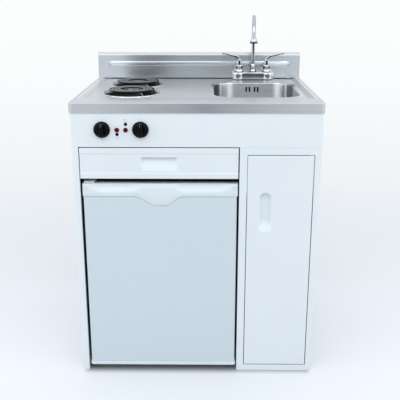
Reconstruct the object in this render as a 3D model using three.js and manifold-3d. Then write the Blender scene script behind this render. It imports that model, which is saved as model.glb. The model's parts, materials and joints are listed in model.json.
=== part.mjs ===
// A compact kitchenette unit: a pressed steel worktop with a sink bowl, a gooseneck tap and two coil burners, on a
// folded steel housing that holds a drawer, an undercounter refrigerator and a narrow cupboard.
// Millimetres, +Z up, +X to the right of a person who faces the front, +Y from the front to the back.
// Y is counted from the front face of the worktop's apron, and the last group moves it all to its own origin.
import * as THREE from 'three';
import { mergeVertices } from 'three/addons/utils/BufferGeometryUtils.js';
import Module from 'manifold-3d';

const wasm = await Module();
wasm.setup();

// ---------------------------------------------------------------- driving dimensions
const WIDTH = 762;                 // worktop, side to side
const HEIGHT = 889;                // top of the worktop's raised edge
const APRON = 29;                  // the worktop's turned-down edge
const SHEET = 1.5;                 // folded steel of the housing and the worktop
const PAN_SHEET = 1.2;             // folded steel of doors, drawer and burner pans
const GAP = 0.3;                   // between pieces that touch
const HOUSING = { half: 380, front: 3, rear: 620, corner: 14 };
const PANEL = { bottom: 757, return: 30 };                    // control panel
const RECESS = { depth: 3, side: 14, front: 96, slope: 20, corner: 30 };
const SPLASH = { front: 612, back: 627, top: 984, bevel: 8 };  // backsplash
const BOWL = { x: 192, y: 319, halfX: 138, halfY: 175, corner: 70, depth: 140, rim: 10, drain: 45, sheet: 1.2 };
const TAP = { x: 202, y: 588, spread: 51, base: 21, reach: 138, archTop: 1117, tube: 6.8, restTurn: -3.3 };
const BURNER = { x: -216, front: 222, rear: 434, pan: 93.5, rim: 3.2, hole: 86, plane: 900 };
const COIL = { inner: 35, outer: 73.8, turns: 4, wire: 3.2, lead: 7, leadDrop: 21 };
const KNOB = { x: [-283, -167.5], z: 810, radius: 24, reach: 22 };
const LAMP = { x: [-238, -212], z: 809, lens: 6.8 };
const LEG = { inner: -357 };                                   // inner edge of the left leg
const STILE = { left: 130.5, doorLeft: 153, doorRight: 357.5, doorTop: 733.2, doorBottom: 20 };
const DRAWER = { left: -355, right: 127, bottom: 658, top: 754, depth: 460 };
const CUPBOARD_DOOR = { left: 155, right: 355.5, bottom: 22.2, top: 731, depth: 18, pinX: 347.5, pinY: 8 };
const FRIDGE = { left: -349, right: 124, trimLeft: -351.5, trimRight: 127, doorBottom: 19.5, doorTop: 642,
  doorBack: 38, front: 46.5, back: 560, bottom: 24, top: 640, wall: 30, pinX: -331, pinY: 19 };
const TRIM = { line: 603, face: 1.2, back: 34, corner: 10 };   // moulded trims of the refrigerator's door
const REAR = SPLASH.back;
const FRONT = HOUSING.front - 1 - KNOB.reach;                  // front of the knobs

// ---------------------------------------------------------------- finishes
const WHITE_PAINT = { color: 0xe9eef3, roughness: 0.35, metalness: 0 };
const DOOR_PAINT = { color: 0xcfdce4, roughness: 0.4, metalness: 0 };
const WHITE_PLASTIC = { color: 0xe4ecf2, roughness: 0.45, metalness: 0 };
const LINER_PLASTIC = { color: 0xf0f3f4, roughness: 0.3, metalness: 0 };
const STAINLESS = { color: 0xb4babd, roughness: 0.32, metalness: 1 };
const CHROME = { color: 0xdfe5ea, roughness: 0.08, metalness: 1 };
const ZINC = { color: 0xa9adab, roughness: 0.45, metalness: 1 };
const COIL_STEEL = { color: 0x35363a, roughness: 0.5, metalness: 0.7 };
const BLACK_PLASTIC = { color: 0x161719, roughness: 0.35, metalness: 0 };
const BLACK_STEEL = { color: 0x1d1e20, roughness: 0.5, metalness: 0.3 };
const RED_LENS = { color: 0xb81f1a, roughness: 0.2, metalness: 0 };
const CERAMIC = { color: 0xe8e2d4, roughness: 0.6, metalness: 0 };
const RUBBER = { color: 0xc9cdce, roughness: 0.8, metalness: 0 };
const GLASS = { color: 0xcfe0dc, roughness: 0.05, metalness: 0 };

// ---------------------------------------------------------------- solids
// A closed mesh with its shared corners merged, its collapsed faces dropped and its faces turned outward.
function closed(geometry) {
  geometry.deleteAttribute('normal');
  geometry.deleteAttribute('uv');
  const merged = mergeVertices(geometry, 1e-4);
  const corners = merged.index.array;
  const [a, b, c] = [new THREE.Vector3(), new THREE.Vector3(), new THREE.Vector3()];
  const kept = [];
  let volume = 0;
  for (let i = 0; i < corners.length; i += 3) {
    const [p, q, r] = [corners[i], corners[i + 1], corners[i + 2]];
    if (p === q || q === r || r === p) continue;
    kept.push(p, q, r);
    a.fromBufferAttribute(merged.attributes.position, p);
    b.fromBufferAttribute(merged.attributes.position, q);
    c.fromBufferAttribute(merged.attributes.position, r);
    volume += a.dot(b.cross(c));
  }
  if (volume < 0) {
    for (let i = 0; i < kept.length; i += 3) [kept[i], kept[i + 1]] = [kept[i + 1], kept[i]];
  }
  merged.setIndex(kept);
  return merged;
}

function toSolid(geometry) {
  return new wasm.Manifold(new wasm.Mesh({
    numProp: 3,
    vertProperties: Float32Array.from(geometry.attributes.position.array),
    triVerts: Uint32Array.from(geometry.index.array),
  }));
}

function toGeometry(solid) {
  const mesh = solid.getMesh();
  const geometry = new THREE.BufferGeometry();
  geometry.setAttribute('position', new THREE.BufferAttribute(Float32Array.from(mesh.vertProperties), 3));
  geometry.setIndex(Array.from(mesh.triVerts));
  return geometry;
}

const join = (first, ...others) =>
  toGeometry(others.reduce((whole, part) => whole.add(toSolid(part)), toSolid(first)));
const cut = (first, ...others) =>
  toGeometry(others.reduce((whole, part) => whole.subtract(toSolid(part)), toSolid(first)));

// Extrusions of a flat outline: upright is drawn in X and Y, across in Y and Z, inward in X and Z.
const DRAWN_IN_YZ = new THREE.Matrix4().makeBasis(
  new THREE.Vector3(0, 1, 0), new THREE.Vector3(0, 0, 1), new THREE.Vector3(1, 0, 0));
const extruded = (shape, depth) =>
  new THREE.ExtrudeGeometry(shape, { depth, bevelEnabled: false, curveSegments: 8 });
const upright = (shape, z0, z1) => closed(extruded(shape, z1 - z0).translate(0, 0, z0));
const across = (shape, x0, x1) => closed(extruded(shape, x1 - x0).applyMatrix4(DRAWN_IN_YZ).translate(x0, 0, 0));
const inward = (shape, y0, y1) => closed(extruded(shape, y1 - y0).rotateX(Math.PI / 2).translate(0, y1, 0));

function block([x0, x1], [y0, y1], [z0, z1]) {
  const box = new THREE.BoxGeometry(x1 - x0, y1 - y0, z1 - z0);
  return closed(box.translate((x0 + x1) / 2, (y0 + y1) / 2, (z0 + z1) / 2));
}

function drum(radius, z0, z1, sides = 20) {
  const cylinder = new THREE.CylinderGeometry(radius, radius, z1 - z0, sides).rotateX(Math.PI / 2);
  return closed(cylinder.translate(0, 0, (z0 + z1) / 2));
}

// A turned piece: its profile is a list of [radius, height] that starts and ends on the axis, or closes on itself.
function turned(profile, sides = 28) {
  const points = profile.map(([r, z]) => new THREE.Vector2(r, z));
  return closed(new THREE.LatheGeometry(points, sides).rotateX(Math.PI / 2));
}

// Flat corners [x, y, radius], with an arc of a few steps wherever a corner has a radius.
function rounded(corners, { loop = false, steps = 4 } = {}) {
  const points = [];
  corners.forEach(([x, y, radius = 0], i) => {
    const here = new THREE.Vector2(x, y);
    const before = corners[(i - 1 + corners.length) % corners.length];
    const after = corners[(i + 1) % corners.length];
    const isEnd = !loop && (i === 0 || i === corners.length - 1);
    if (!radius || isEnd) {
      points.push(here);
      return;
    }
    const start = new THREE.Vector2(before[0], before[1]).sub(here).setLength(radius).add(here);
    const end = new THREE.Vector2(after[0], after[1]).sub(here).setLength(radius).add(here);
    points.push(...new THREE.QuadraticBezierCurve(start, here, end).getPoints(steps));
  });
  return points;
}

const outline = (corners, steps = 4) => new THREE.Shape(rounded(corners, { loop: true, steps }));
const plate = (x0, x1, y0, y1, radius = 0, steps = 4) =>
  outline([[x0, y0, radius], [x1, y0, radius], [x1, y1, radius], [x0, y1, radius]], steps);

// The line set over to its left-hand side by a distance, mitred at its corners.
function setOver(line, distance) {
  return line.map((point, i) => {
    const sides = [];
    if (i > 0) sides.push(point.clone().sub(line[i - 1]).normalize());
    if (i < line.length - 1) sides.push(line[i + 1].clone().sub(point).normalize());
    const normals = sides.map((side) => new THREE.Vector2(-side.y, side.x));
    const mitre = normals.reduce((sum, normal) => sum.clone().add(normal)).normalize();
    return mitre.multiplyScalar(distance / mitre.dot(normals[0])).add(point);
  });
}

// The outline of a folded sheet: the line of one face, and that line set over by the sheet's thickness.
function folded(corners, thickness = SHEET, steps = 4) {
  const line = rounded(corners, { steps });
  return new THREE.Shape([...line, ...setOver(line, thickness).reverse()]);
}

// A body lofted through rings of equally many points, capped at both ends, or looped from its last ring to its first.
function loft(rings, looped = false) {
  const count = rings[0].length;
  const positions = rings.flat().flatMap((point) => [point.x, point.y, point.z]);
  const faces = [];
  const last = looped ? rings.length : rings.length - 1;
  for (let i = 0; i < last; i += 1) {
    const next = (i + 1) % rings.length;
    for (let j = 0; j < count; j += 1) {
      const [p, q] = [i * count + j, i * count + ((j + 1) % count)];
      const [r, s] = [next * count + j, next * count + ((j + 1) % count)];
      faces.push(p, q, s, p, s, r);
    }
  }
  if (!looped) {
    faces.push(...capFaces(rings[0]).reverse());
    faces.push(...capFaces(rings[rings.length - 1]).map((k) => k + (rings.length - 1) * count));
  }
  const geometry = new THREE.BufferGeometry();
  geometry.setAttribute('position', new THREE.Float32BufferAttribute(positions, 3));
  geometry.setIndex(faces);
  return closed(geometry);
}

// The triangles that close a flat ring, seen along the axis that its plane faces most, in the ring's own sense.
function capFaces(ring) {
  const normal = new THREE.Vector3();
  ring.forEach((point, i) => normal.add(point.clone().cross(ring[(i + 1) % ring.length])));
  const size = [Math.abs(normal.x), Math.abs(normal.y), Math.abs(normal.z)];
  const axis = size.indexOf(Math.max(...size));
  const flat = ring.map((p) => [[p.y, p.z], [p.z, p.x], [p.x, p.y]][axis]);
  const contour = flat.map(([u, v]) => new THREE.Vector2(u, v));
  const forward = normal.getComponent(axis) > 0;
  const faces = THREE.ShapeUtils.triangulateShape(forward ? contour : contour.slice().reverse(), []).flat();
  return forward ? faces : faces.map((k) => ring.length - 1 - k).reverse();
}

// A level ring of a rounded rectangle. Four equal half sides and radius make it a circle.
function rectangleRing(x, y, halfX, halfY, radius, z, steps = 5) {
  const ring = [];
  for (let corner = 0; corner < 4; corner += 1) {
    const [sideX, sideY] = [[1, 1], [-1, 1], [-1, -1], [1, -1]][corner];
    for (let i = 0; i <= steps; i += 1) {
      const angle = (corner + i / steps) * (Math.PI / 2);
      ring.push(new THREE.Vector3(
        x + sideX * (halfX - radius) + radius * Math.cos(angle),
        y + sideY * (halfY - radius) + radius * Math.sin(angle), z));
    }
  }
  return ring;
}

// A path through its own points, at the spacing at which they are given.
class Route extends THREE.CatmullRomCurve3 {
  getPointAt(t, target) {
    return this.getPoint(t, target);
  }

  getTangentAt(t, target) {
    return this.getTangent(t, target);
  }
}

function pipe(points, radius, sides) {
  const section = new THREE.Shape();
  for (let i = 0; i < sides; i += 1) {
    const angle = (i / sides) * 2 * Math.PI;
    section[i ? 'lineTo' : 'moveTo'](radius * Math.cos(angle), radius * Math.sin(angle));
  }
  const path = new Route(points, false, 'centripetal');
  return closed(new THREE.ExtrudeGeometry(section, { steps: points.length - 1, extrudePath: path }));
}

const smooth = (low, high, value) => {
  const t = Math.min(Math.max((value - low) / (high - low), 0), 1);
  return t * t * (3 - 2 * t);
};
const hump = (value, low, high, ramp) =>
  smooth(low, low + ramp, value) * (1 - smooth(high - ramp, high, value));
const mix = (a, b, share) => a + (b - a) * share;
const span = (low, high, steps) => Array.from({ length: steps + 1 }, (_, i) => mix(low, high, i / steps));

const unit = new THREE.Group();

function add(name, geometry, look, group = unit) {
  const mesh = new THREE.Mesh(geometry, new THREE.MeshStandardMaterial(look));
  mesh.name = name;
  group.add(mesh);
  return mesh;
}

// ---------------------------------------------------------------- housing
// A side is one sheet with a front return, a rear return and flanges turned in at its top and foot. The right-hand
// side stops behind the cupboard's frame, and the left-hand one folds round to make the leg.
function addSides() {
  const { half, front, rear, corner } = HOUSING;
  const top = HEIGHT - APRON - GAP;
  const leftPlan = folded([[-360, rear], [-half, rear], [-half, front, corner], [LEG.inner, front],
    [LEG.inner, front + 13]], SHEET);
  const leftSheet = upright(leftPlan, 0, top);
  const notch = block([-half - 5, LEG.inner + 5], [front - 5, front + PANEL.return + GAP],
    [PANEL.bottom - GAP, top + 5]);
  const flanges = (inner, outer) => [
    block([Math.min(inner, outer), Math.max(inner, outer)], [60, rear - SHEET], [top - SHEET, top]),
    block([Math.min(inner, outer), Math.max(inner, outer)], [40, rear - SHEET], [0, SHEET])];
  add('housing_side_left', join(cut(leftSheet, notch), ...flanges(-half + SHEET / 2, -half + 20)), WHITE_PAINT);

  const start = front + PANEL.return + GAP;
  const rightPlan = folded([[half, start], [half, rear], [360, rear]], SHEET);
  add('housing_side_right', join(upright(rightPlan, 0, top), ...flanges(half - 20, half - SHEET / 2)), WHITE_PAINT);
}

// The control panel wraps both front corners and has a flange turned back along its top and its foot.
function addControlPanel() {
  const { half, front, corner } = HOUSING;
  const top = HEIGHT - APRON - GAP;
  const reach = front + PANEL.return;
  const plan = folded([[-half, reach], [-half, front, corner], [half, front, corner], [half, reach]], SHEET);
  const panel = join(upright(plan, PANEL.bottom, top),
    block([-half + corner, half - corner], [front + SHEET / 2, front + 16], [top - SHEET, top]),
    block([-half + corner, half - corner], [front + SHEET / 2, front + 15], [PANEL.bottom, PANEL.bottom + SHEET]));
  const hole = (x, z, radius) => drum(radius, -10, 10).rotateX(Math.PI / 2).translate(x, front, z);
  const holes = [...KNOB.x.map((x) => hole(x, KNOB.z, 5)), ...LAMP.x.map((x) => hole(x, LAMP.z, 5.3))];
  add('control_panel', cut(panel, ...holes), WHITE_PAINT);
}

// The cupboard's frame: one sheet with the door's opening, a return beside the refrigerator, the rounded right-hand
// corner with its side return, and a lip turned in all round the opening.
function addCupboardFrame() {
  const { half, front, corner } = HOUSING;
  const top = PANEL.bottom - GAP;
  const plan = folded([[STILE.left, front + 24], [STILE.left, front], [half, front, corner],
    [half, front + PANEL.return]], SHEET);
  const opening = [[STILE.doorLeft, STILE.doorRight], [STILE.doorBottom, STILE.doorTop]];
  const lipDepth = 16;
  const outer = block([opening[0][0] - PAN_SHEET, opening[0][1] + PAN_SHEET], [front + 0.5, front + lipDepth],
    [opening[1][0] - PAN_SHEET, opening[1][1] + PAN_SHEET]);
  const inner = block(opening[0], [front - 5, front + lipDepth + 5], opening[1]);
  add('storage_front_frame', cut(join(upright(plan, 0, top), outer), inner), WHITE_PAINT);
}

function addInnerHousing() {
  const { half, rear } = HOUSING;
  const partitionX = STILE.left + SHEET + GAP;
  const partition = join(block([partitionX, partitionX + PAN_SHEET], [6, rear - 4], [0, 730]),
    block([partitionX, partitionX + 14], [6, rear - 4], [0, PAN_SHEET]),
    block([partitionX, partitionX + 14], [rear - 4 - PAN_SHEET, rear - 4], [0, 730]));
  add('partition', partition, WHITE_PAINT);

  const floorEdge = [partitionX + PAN_SHEET + GAP, half - SHEET - GAP];
  const floorPlan = folded([[floorEdge[0], 2], [floorEdge[0], 19], [floorEdge[1], 19], [floorEdge[1], 2]], -PAN_SHEET);
  const floorSheet = join(inward(floorPlan, 22, rear - 20),
    block([floorEdge[0], floorEdge[1]], [rear - 20 - PAN_SHEET, rear - 20], [18, 34]));
  add('storage_floor', floorSheet, WHITE_PAINT);

  const sheet = plate(-half + 2, half - 2, 3, HEIGHT - APRON - 2.5);
  sheet.holes.push(plate(-340, 120, 40, 650, 20), plate(170, 330, 430, 640, 12), plate(-14, 14, 688, 712, 11));
  add('back_panel', inward(sheet, rear - SHEET - GAP - PAN_SHEET, rear - SHEET - GAP), WHITE_PAINT);
}

// A cable gland in the back panel: a threaded barrel with its flange outside and its nut inside.
function addCableGland() {
  const rear = HOUSING.rear - SHEET;
  const barrel = turned([[7, -18], [10.4, -18], [10.4, 0], [17, 0], [17, 3], [12, 8], [7, 8], [7, -18]], 12);
  const nut = turned([[9, -9], [16, -9], [16, -3], [9, -3], [9, -9]], 6);
  const gland = join(barrel, nut).rotateX(-Math.PI / 2).translate(0, rear, 700);
  add('cord_gland', gland, BLACK_PLASTIC);
}

// ---------------------------------------------------------------- worktop and backsplash
// The floor of the worktop's shallow pressed recess, open at the back, as a body with sloped sides.
function recessBody(drop) {
  const { side, front, slope, corner, depth } = RECESS;
  const back = SPLASH.back + 40;
  const ring = (inset, z) => {
    const halfX = WIDTH / 2 - side - inset;
    const y0 = front + inset;
    return rectangleRing(0, (y0 + back) / 2, halfX, (back - y0) / 2, corner, z, 4);
  };
  return loft([ring(-slope, HEIGHT + depth - drop), ring(slope, HEIGHT - depth - drop)]);
}

function addWorktop() {
  const half = WIDTH / 2;
  const back = SPLASH.back - 4;
  const low = HEIGHT - APRON;
  const corner = 12;
  const body = upright(outline([[-half, 0, corner], [half, 0, corner], [half, back], [-half, back]]), low, HEIGHT);
  const inset = SHEET;
  const inner = upright(outline([[-half + inset, inset, corner - 1], [half - inset, inset, corner - 1],
    [half - inset, back + 5], [-half + inset, back + 5]]), low + SHEET, HEIGHT - SHEET);
  const mouth = block([-half + 12, half - 12], [12, back + 5], [low - 5, low + 5]);
  const underside = cut(inner, recessBody(SHEET));
  const { x, y, halfX, halfY, corner: bowlCorner, rim } = BOWL;
  const bowlHole = upright(plate(x - halfX - rim - GAP, x + halfX + rim + GAP, y - halfY - rim - GAP,
    y + halfY + rim + GAP, bowlCorner + rim, 5), low, HEIGHT + 5);
  const burnerHoles = [BURNER.front, BURNER.rear].map((at) =>
    drum(BURNER.hole, low, HEIGHT + 5, 24).translate(BURNER.x, at, 0));
  const tapHoles = [-1, 1].map((side) => drum(13, low, HEIGHT + 5).translate(TAP.x + side * TAP.spread, TAP.y, 0));
  add('worktop', cut(body, underside, recessBody(0), mouth, bowlHole, ...burnerHoles, ...tapHoles), STAINLESS);
}

// The backsplash: a front face that stands on the worktop's raised ends, a bevelled top edge, a back face that
// runs down behind the housing, and a pressed bead along its middle.
function addBacksplash() {
  const half = WIDTH / 2 - 1;
  const { front, back, top, bevel } = SPLASH;
  const profile = folded([[front, HEIGHT + GAP], [front, top - 11], [front + bevel, top], [back, top],
    [back, HEIGHT - APRON + 2]], -SHEET);
  const beadRing = (grow, y) => rectangleRing(0, 942.5, 342 + grow, 9 + grow, 9 + grow, y, 5)
    .map((point) => new THREE.Vector3(point.x, point.z, point.y));
  const bead = loft([beadRing(0, front + 0.8), beadRing(0, front), beadRing(-2.2, front - 2.4),
    beadRing(-4.5, front - 3.2)]);
  const end = outline([[front + 0.6, HEIGHT + GAP], [front + 0.6, top - 11], [front + bevel, top - 0.6],
    [back - 0.6, top - 0.6], [back - 0.6, HEIGHT + GAP]]);
  const ends = [across(end, -half + 0.5, -half + 2), across(end, half - 2, half - 0.5)];
  add('backsplash', join(across(profile, -half, half), bead, ...ends), STAINLESS);
}

// ---------------------------------------------------------------- sink
// The bowl's section from its rim to its drain, as [inset from the rim's outer edge, height]: a flat rim, a rolled
// edge, a wall with a little draft, a rounded foot and a floor that falls to the drain.
function bowlProfile() {
  const deck = HEIGHT - RECESS.depth;
  const floor = HEIGHT - BOWL.depth;
  const roll = 7;
  const foot = 26;
  const edge = span(0, Math.PI / 2, 3).map((a) => [3 + roll * Math.sin(a), deck - roll * (1 - Math.cos(a))]);
  const bend = span(0, Math.PI / 2, 3).map((a) =>
    [12.5 + foot * (1 - Math.cos(a)), floor + foot * (1 - Math.sin(a))]);
  return [[0, deck], ...edge, ...bend, [70, floor - 2], [110, floor - 4]];
}

function addSinkBowl() {
  const { x, y, halfX, halfY, corner, rim, drain, sheet } = BOWL;
  const floorStart = 38.5;
  const floorEnd = 110;
  const ring = (point) => {
    const share = Math.max(0, (point.x - floorStart) / (floorEnd - floorStart));
    const inset = Math.min(point.x, floorStart);
    return rectangleRing(x, y, mix(halfX + rim - inset, drain, share), mix(halfY + rim - inset, drain, share),
      mix(corner + rim - inset * 0.8, drain, share), point.y);
  };
  const face = bowlProfile().map(([inset, z]) => new THREE.Vector2(inset, z));
  const back = setOver(face, -sheet).reverse();
  back[0].x = face[face.length - 1].x;
  const shell = loft([...face.map(ring), ...back.map(ring)], true);

  const wall = y + halfY;
  const top = HEIGHT - 17;
  const slotCentre = x + 2.5;
  const slots = [-20.8, -9.3, 9.3, 20.8].map((offset) =>
    block([slotCentre + offset - 2.4, slotCentre + offset + 2.4], [wall - 12, wall + 3], [top - 19, top]));
  const pocket = cut(block([slotCentre - 32, slotCentre + 32], [wall - 1.5, wall + 14], [top - 60, top + 4]),
    block([slotCentre - 30.5, slotCentre + 30.5], [wall - 5, wall + 12.5], [top - 58.5, top + 2.5]));
  const outlet = drum(7, top - 80, top - 57, 16).translate(slotCentre, wall + 5, 0);
  const bore = drum(5.4, top - 90, top - 50, 16).translate(slotCentre, wall + 5, 0);
  add('sink_bowl', cut(join(shell, pocket, outlet), ...slots, bore), STAINLESS);
}

// The drain under the bowl: a flanged body, a locknut, a tail pipe with its slip nut, and the loose strainer basket.
function addDrain() {
  const floor = HEIGHT - BOWL.depth - 4;
  const under = floor - BOWL.sheet - 1;
  const place = (geometry) => geometry.translate(BOWL.x, BOWL.y, 0);
  const body = turned([[44, floor + 0.4], [54, floor + 1.4], [54, floor + 2.6], [45, floor + 2.2], [41, floor - 2],
    [41, floor - 16], [36, floor - 17], [36, floor - 46], [17, floor - 50], [17, floor - 66], [19, floor - 66],
    [19, floor - 52], [39, floor - 48], [39, floor - 19], [44, floor - 18], [44, floor + 0.4]], 20);
  add('drain_body', place(body), STAINLESS);
  const locknut = turned([[44.3, under - 9], [54, under - 9], [57, under - 6], [57, under - 2], [51, under - 1],
    [44.3, under - 1], [44.3, under - 9]], 20);
  add('drain_locknut', place(locknut), ZINC);
  const tail = turned([[19.4, floor - 60], [25, floor - 60], [25, floor - 76], [19, floor - 79], [19, floor - 150],
    [17.4, floor - 150], [17.4, floor - 68], [19.4, floor - 67], [19.4, floor - 60]], 20);
  add('drain_tailpiece', place(tail), CHROME);
  const seat = floor - 16 + GAP;
  const cup = turned([[0, seat - 22], [24, seat - 22], [30, seat - 16], [31, seat], [40, seat], [40, seat + 1.4],
    [29.6, seat + 1.4], [28.6, seat - 15.4], [23.4, seat - 20.6], [5, seat - 20.6], [5, seat + 6], [9, seat + 9],
    [9, seat + 12], [0, seat + 14]], 18);
  const holes = span(0, 300, 5).map((angle) => {
    const turn = THREE.MathUtils.degToRad(angle);
    return drum(3, seat - 30, seat - 10, 6).translate(15 * Math.cos(turn), 15 * Math.sin(turn), 0);
  });
  add('strainer_basket', place(cut(cup, ...holes)), STAINLESS);
}

// ---------------------------------------------------------------- tap
// One casting: a bar with two rounder ends on the deck, and under each end a threaded shank with its wing nut.
function addTapBase() {
  const deck = HEIGHT - RECESS.depth + GAP;
  const top = deck + 2.3 + TAP.base;
  const endX = 56;
  const ring = (inset, z) => {
    const radius = 22 - inset;
    const meet = Math.asin((17 - inset) / radius);
    const right = span(-Math.PI + meet, Math.PI - meet, 10).map((a) => [endX + radius * Math.cos(a), a, 1]);
    const left = span(meet, 2 * Math.PI - meet, 10).map((a) => [-endX + radius * Math.cos(a), a, 1]);
    return [...right, ...left].map(([x, a]) => new THREE.Vector3(TAP.x + x, TAP.y + radius * Math.sin(a), z));
  };
  const bar = loft([ring(2, deck), ring(2, deck + 2.2), ring(0, deck + 2.4), ring(0, top - 5), ring(1.2, top - 1.6),
    ring(4.4, top)]);
  const shanks = [-1, 1].map((side) => turned([[0, deck + 4], [10, deck + 4], [10, deck - 12], [24, deck - 12],
    [24, deck - 15], [15, deck - 17], [15, deck - 24], [10, deck - 24], [10, deck - 62], [6.5, deck - 62],
    [6.5, deck - 20], [0, deck - 20]], 12).translate(TAP.x + side * TAP.spread, TAP.y, 0));
  add('faucet_base', join(bar, ...shanks), CHROME);
  return top;
}

// A lever's blade: an oval section that widens and flattens from the hub outward, along a path that rises, leans out
// and ripples to its tip.
function leverBlade(side) {
  const path = new THREE.CatmullRomCurve3([[0, 954], [3, 964], [11, 971.5], [22, 974.5], [35, 977], [48, 981],
    [58, 982.5], [66, 985]].map(([x, z]) => new THREE.Vector3(side * x, 0, z)));
  const steps = 12;
  const rings = span(0, 1, steps).map((t) => {
    const centre = path.getPoint(t);
    const along = path.getTangent(t);
    const normal = new THREE.Vector3(-along.z, 0, along.x);
    const halfWidth = mix(5.5, 8.5, smooth(0.2, 0.9, t)) * (t > 0.95 ? 0.7 : 1);
    const halfThick = mix(5, 2.3, smooth(0.05, 0.5, t));
    return span(0, 2 * Math.PI, 10).slice(0, 10).map((angle) => centre.clone()
      .addScaledVector(new THREE.Vector3(0, 1, 0), halfWidth * Math.sin(angle))
      .addScaledVector(normal, halfThick * Math.cos(angle)));
  });
  return loft(rings);
}

function addTapTop(base) {
  const seat = base + GAP;
  for (const [name, side] of [['left', -1], ['right', 1]]) {
    const x = TAP.x + side * TAP.spread;
    const bonnet = turned([[0, seat], [17, seat], [17, seat + 3], [14.5, seat + 8], [12.8, seat + 15],
      [14.6, seat + 22], [14.6, seat + 27], [11, seat + 32], [0, seat + 32]], 18);
    add(`valve_bonnet_${name}`, bonnet.translate(x, TAP.y, 0), CHROME);
    const hubFoot = seat + 32 + GAP;
    const hub = turned([[0, hubFoot], [9, hubFoot], [9.6, hubFoot + 4], [8, hubFoot + 10], [8.2, hubFoot + 15],
      [5, hubFoot + 19], [0, hubFoot + 20]], 16);
    add(`faucet_lever_${name}`, join(hub, leverBlade(side)).translate(x, TAP.y, 0), CHROME);
  }
  const nut = turned([[7.3, seat], [14, seat], [14, seat + 5], [12, seat + 9], [12, seat + 20], [10.4, seat + 28],
    [8.4, seat + 34], [7.3, seat + 34], [7.3, seat]], 20);
  add('spout_nut', nut.translate(TAP.x, TAP.y, 0), CHROME);

  const swivel = new THREE.Group();
  swivel.position.set(TAP.x, TAP.y, 0);
  swivel.rotation.z = THREE.MathUtils.degToRad(TAP.restTurn);
  unit.add(swivel);
  const radius = TAP.reach / 2;
  const archBase = TAP.archTop - radius;
  const arch = span(0, Math.PI, 16).map((a) =>
    new THREE.Vector3(0, -radius + radius * Math.cos(a), archBase + radius * Math.sin(a)));
  const riser = [seat + 2, seat + 70, archBase - 20].map((z) => new THREE.Vector3(0, 0, z));
  const tip = new THREE.Vector3(0, -TAP.reach, archBase - 5);
  add('spout', pipe([...riser, ...arch, tip], TAP.tube, 10), CHROME, swivel);
  const mouth = archBase - 5;
  const aerator = turned([[0, mouth - 0.4], [7.2, mouth - 0.4], [7.2, mouth + 5], [9.4, mouth + 5], [9.6, mouth + 1],
    [12, mouth - 6], [14.8, mouth - 11], [14.8, mouth - 14], [11, mouth - 14], [11, mouth - 11.5],
    [0, mouth - 11.5]], 18);
  add('aerator', aerator.translate(0, -TAP.reach, 0), CHROME, swivel);
}

// ---------------------------------------------------------------- burners
// The heating element is one unbroken tube: in from its terminal under the turns, up at the middle, out along the
// spiral and down to the second terminal.
function coilPoints() {
  const { inner, outer, turns, lead, leadDrop } = COIL;
  const start = THREE.MathUtils.degToRad(-42);
  const end = THREE.MathUtils.degToRad(24);
  const sweep = 2 * Math.PI * turns + (start - end);
  const count = Math.round((24 * sweep) / (2 * Math.PI));
  const spiral = span(0, 1, count).map((t) => {
    const angle = start - sweep * t;
    const radius = mix(inner, outer, t);
    return [radius * Math.cos(angle), radius * Math.sin(angle), 0];
  });
  const wayIn = [[118, -lead, -leadDrop], [100, -lead, -leadDrop], [84, -lead, -leadDrop], [74, -lead, -17],
    [62, -lead, -12.6], [48, -lead - 0.5, -12], [39, -lead - 2.5, -10.5], [33.5, -lead - 7, -6.5],
    [30, -lead - 12, -2.6]];
  const wayOut = [[71, 22, -3], [73, 14.5, -9], [75.5, 9.5, -15.2], [80, 7.3, -19.7], [87, lead, -leadDrop],
    [100, lead, -leadDrop], [118, lead, -leadDrop]];
  return [...wayIn, ...spiral, ...wayOut].map(([x, y, z]) => new THREE.Vector3(x, y, z));
}

// The least clear distance between stretches of the tube that lie more than four tube widths apart along it.
function leastGap(points, radius) {
  const lengths = [0];
  for (let i = 1; i < points.length; i += 1) lengths.push(lengths[i - 1] + points[i].distanceTo(points[i - 1]));
  let least = Infinity;
  for (let i = 0; i < points.length - 1; i += 1) {
    const from = new THREE.Line3(points[i], points[i + 1]);
    for (let j = 0; j < points.length; j += 1) {
      if (Math.abs(lengths[j] - lengths[i]) < 8 * radius + 20) continue;
      const nearest = from.closestPointToPoint(points[j], true, new THREE.Vector3());
      least = Math.min(least, nearest.distanceTo(points[j]));
    }
  }
  return least - 2 * radius;
}

// Three upright arms under the turns, joined at the middle by a domed disc.
function elementSupport() {
  const top = -COIL.wire - GAP;
  const foot = HEIGHT - RECESS.depth + BURNER.rim + 2 * GAP - BURNER.plane;
  const arm = outline([[14, top], [80, top], [88, top - 3.5], [88, foot], [14, foot]], 1);
  const arms = [60, 180, 300].map((angle) => {
    const bar = inward(new THREE.Shape(arm.getPoints()), -0.9, 0.9);
    return bar.rotateZ(THREE.MathUtils.degToRad(angle));
  });
  const disc = turned([[0, top - 5], [18, top - 5], [23, top - 3.4], [23, top - 1.8], [19, top - 0.6], [8, top + 1.6],
    [0, top + 2]], 16);
  return join(disc, ...arms);
}

// A drip pan: a rolled rim on the worktop, a dished wall and a floor with a round hole, and an opening in its side
// for the element's terminals.
function dripPan() {
  const deck = -(BURNER.plane - HEIGHT + RECESS.depth) + GAP;
  const face = [[BURNER.pan, deck], [BURNER.pan - 1.4, deck + 2.4], [BURNER.pan - 4.5, deck + BURNER.rim],
    [85.4, deck + 1], [81, deck - 11], [72, deck - 20], [22, deck - 25]];
  const line = face.map(([r, z]) => new THREE.Vector2(r, z));
  const back = setOver(line, 0.9).reverse();
  const last = back.length - 1;
  back[last].set(BURNER.pan - 1.6, deck);
  const profile = [...line, ...back, line[0]].map((point) => [point.x, point.y]);
  const opening = block([66, 92], [-13, 13], [-COIL.leadDrop - 6.5, -COIL.leadDrop + 6.2]);
  return cut(turned(profile, 24), opening);
}

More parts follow.
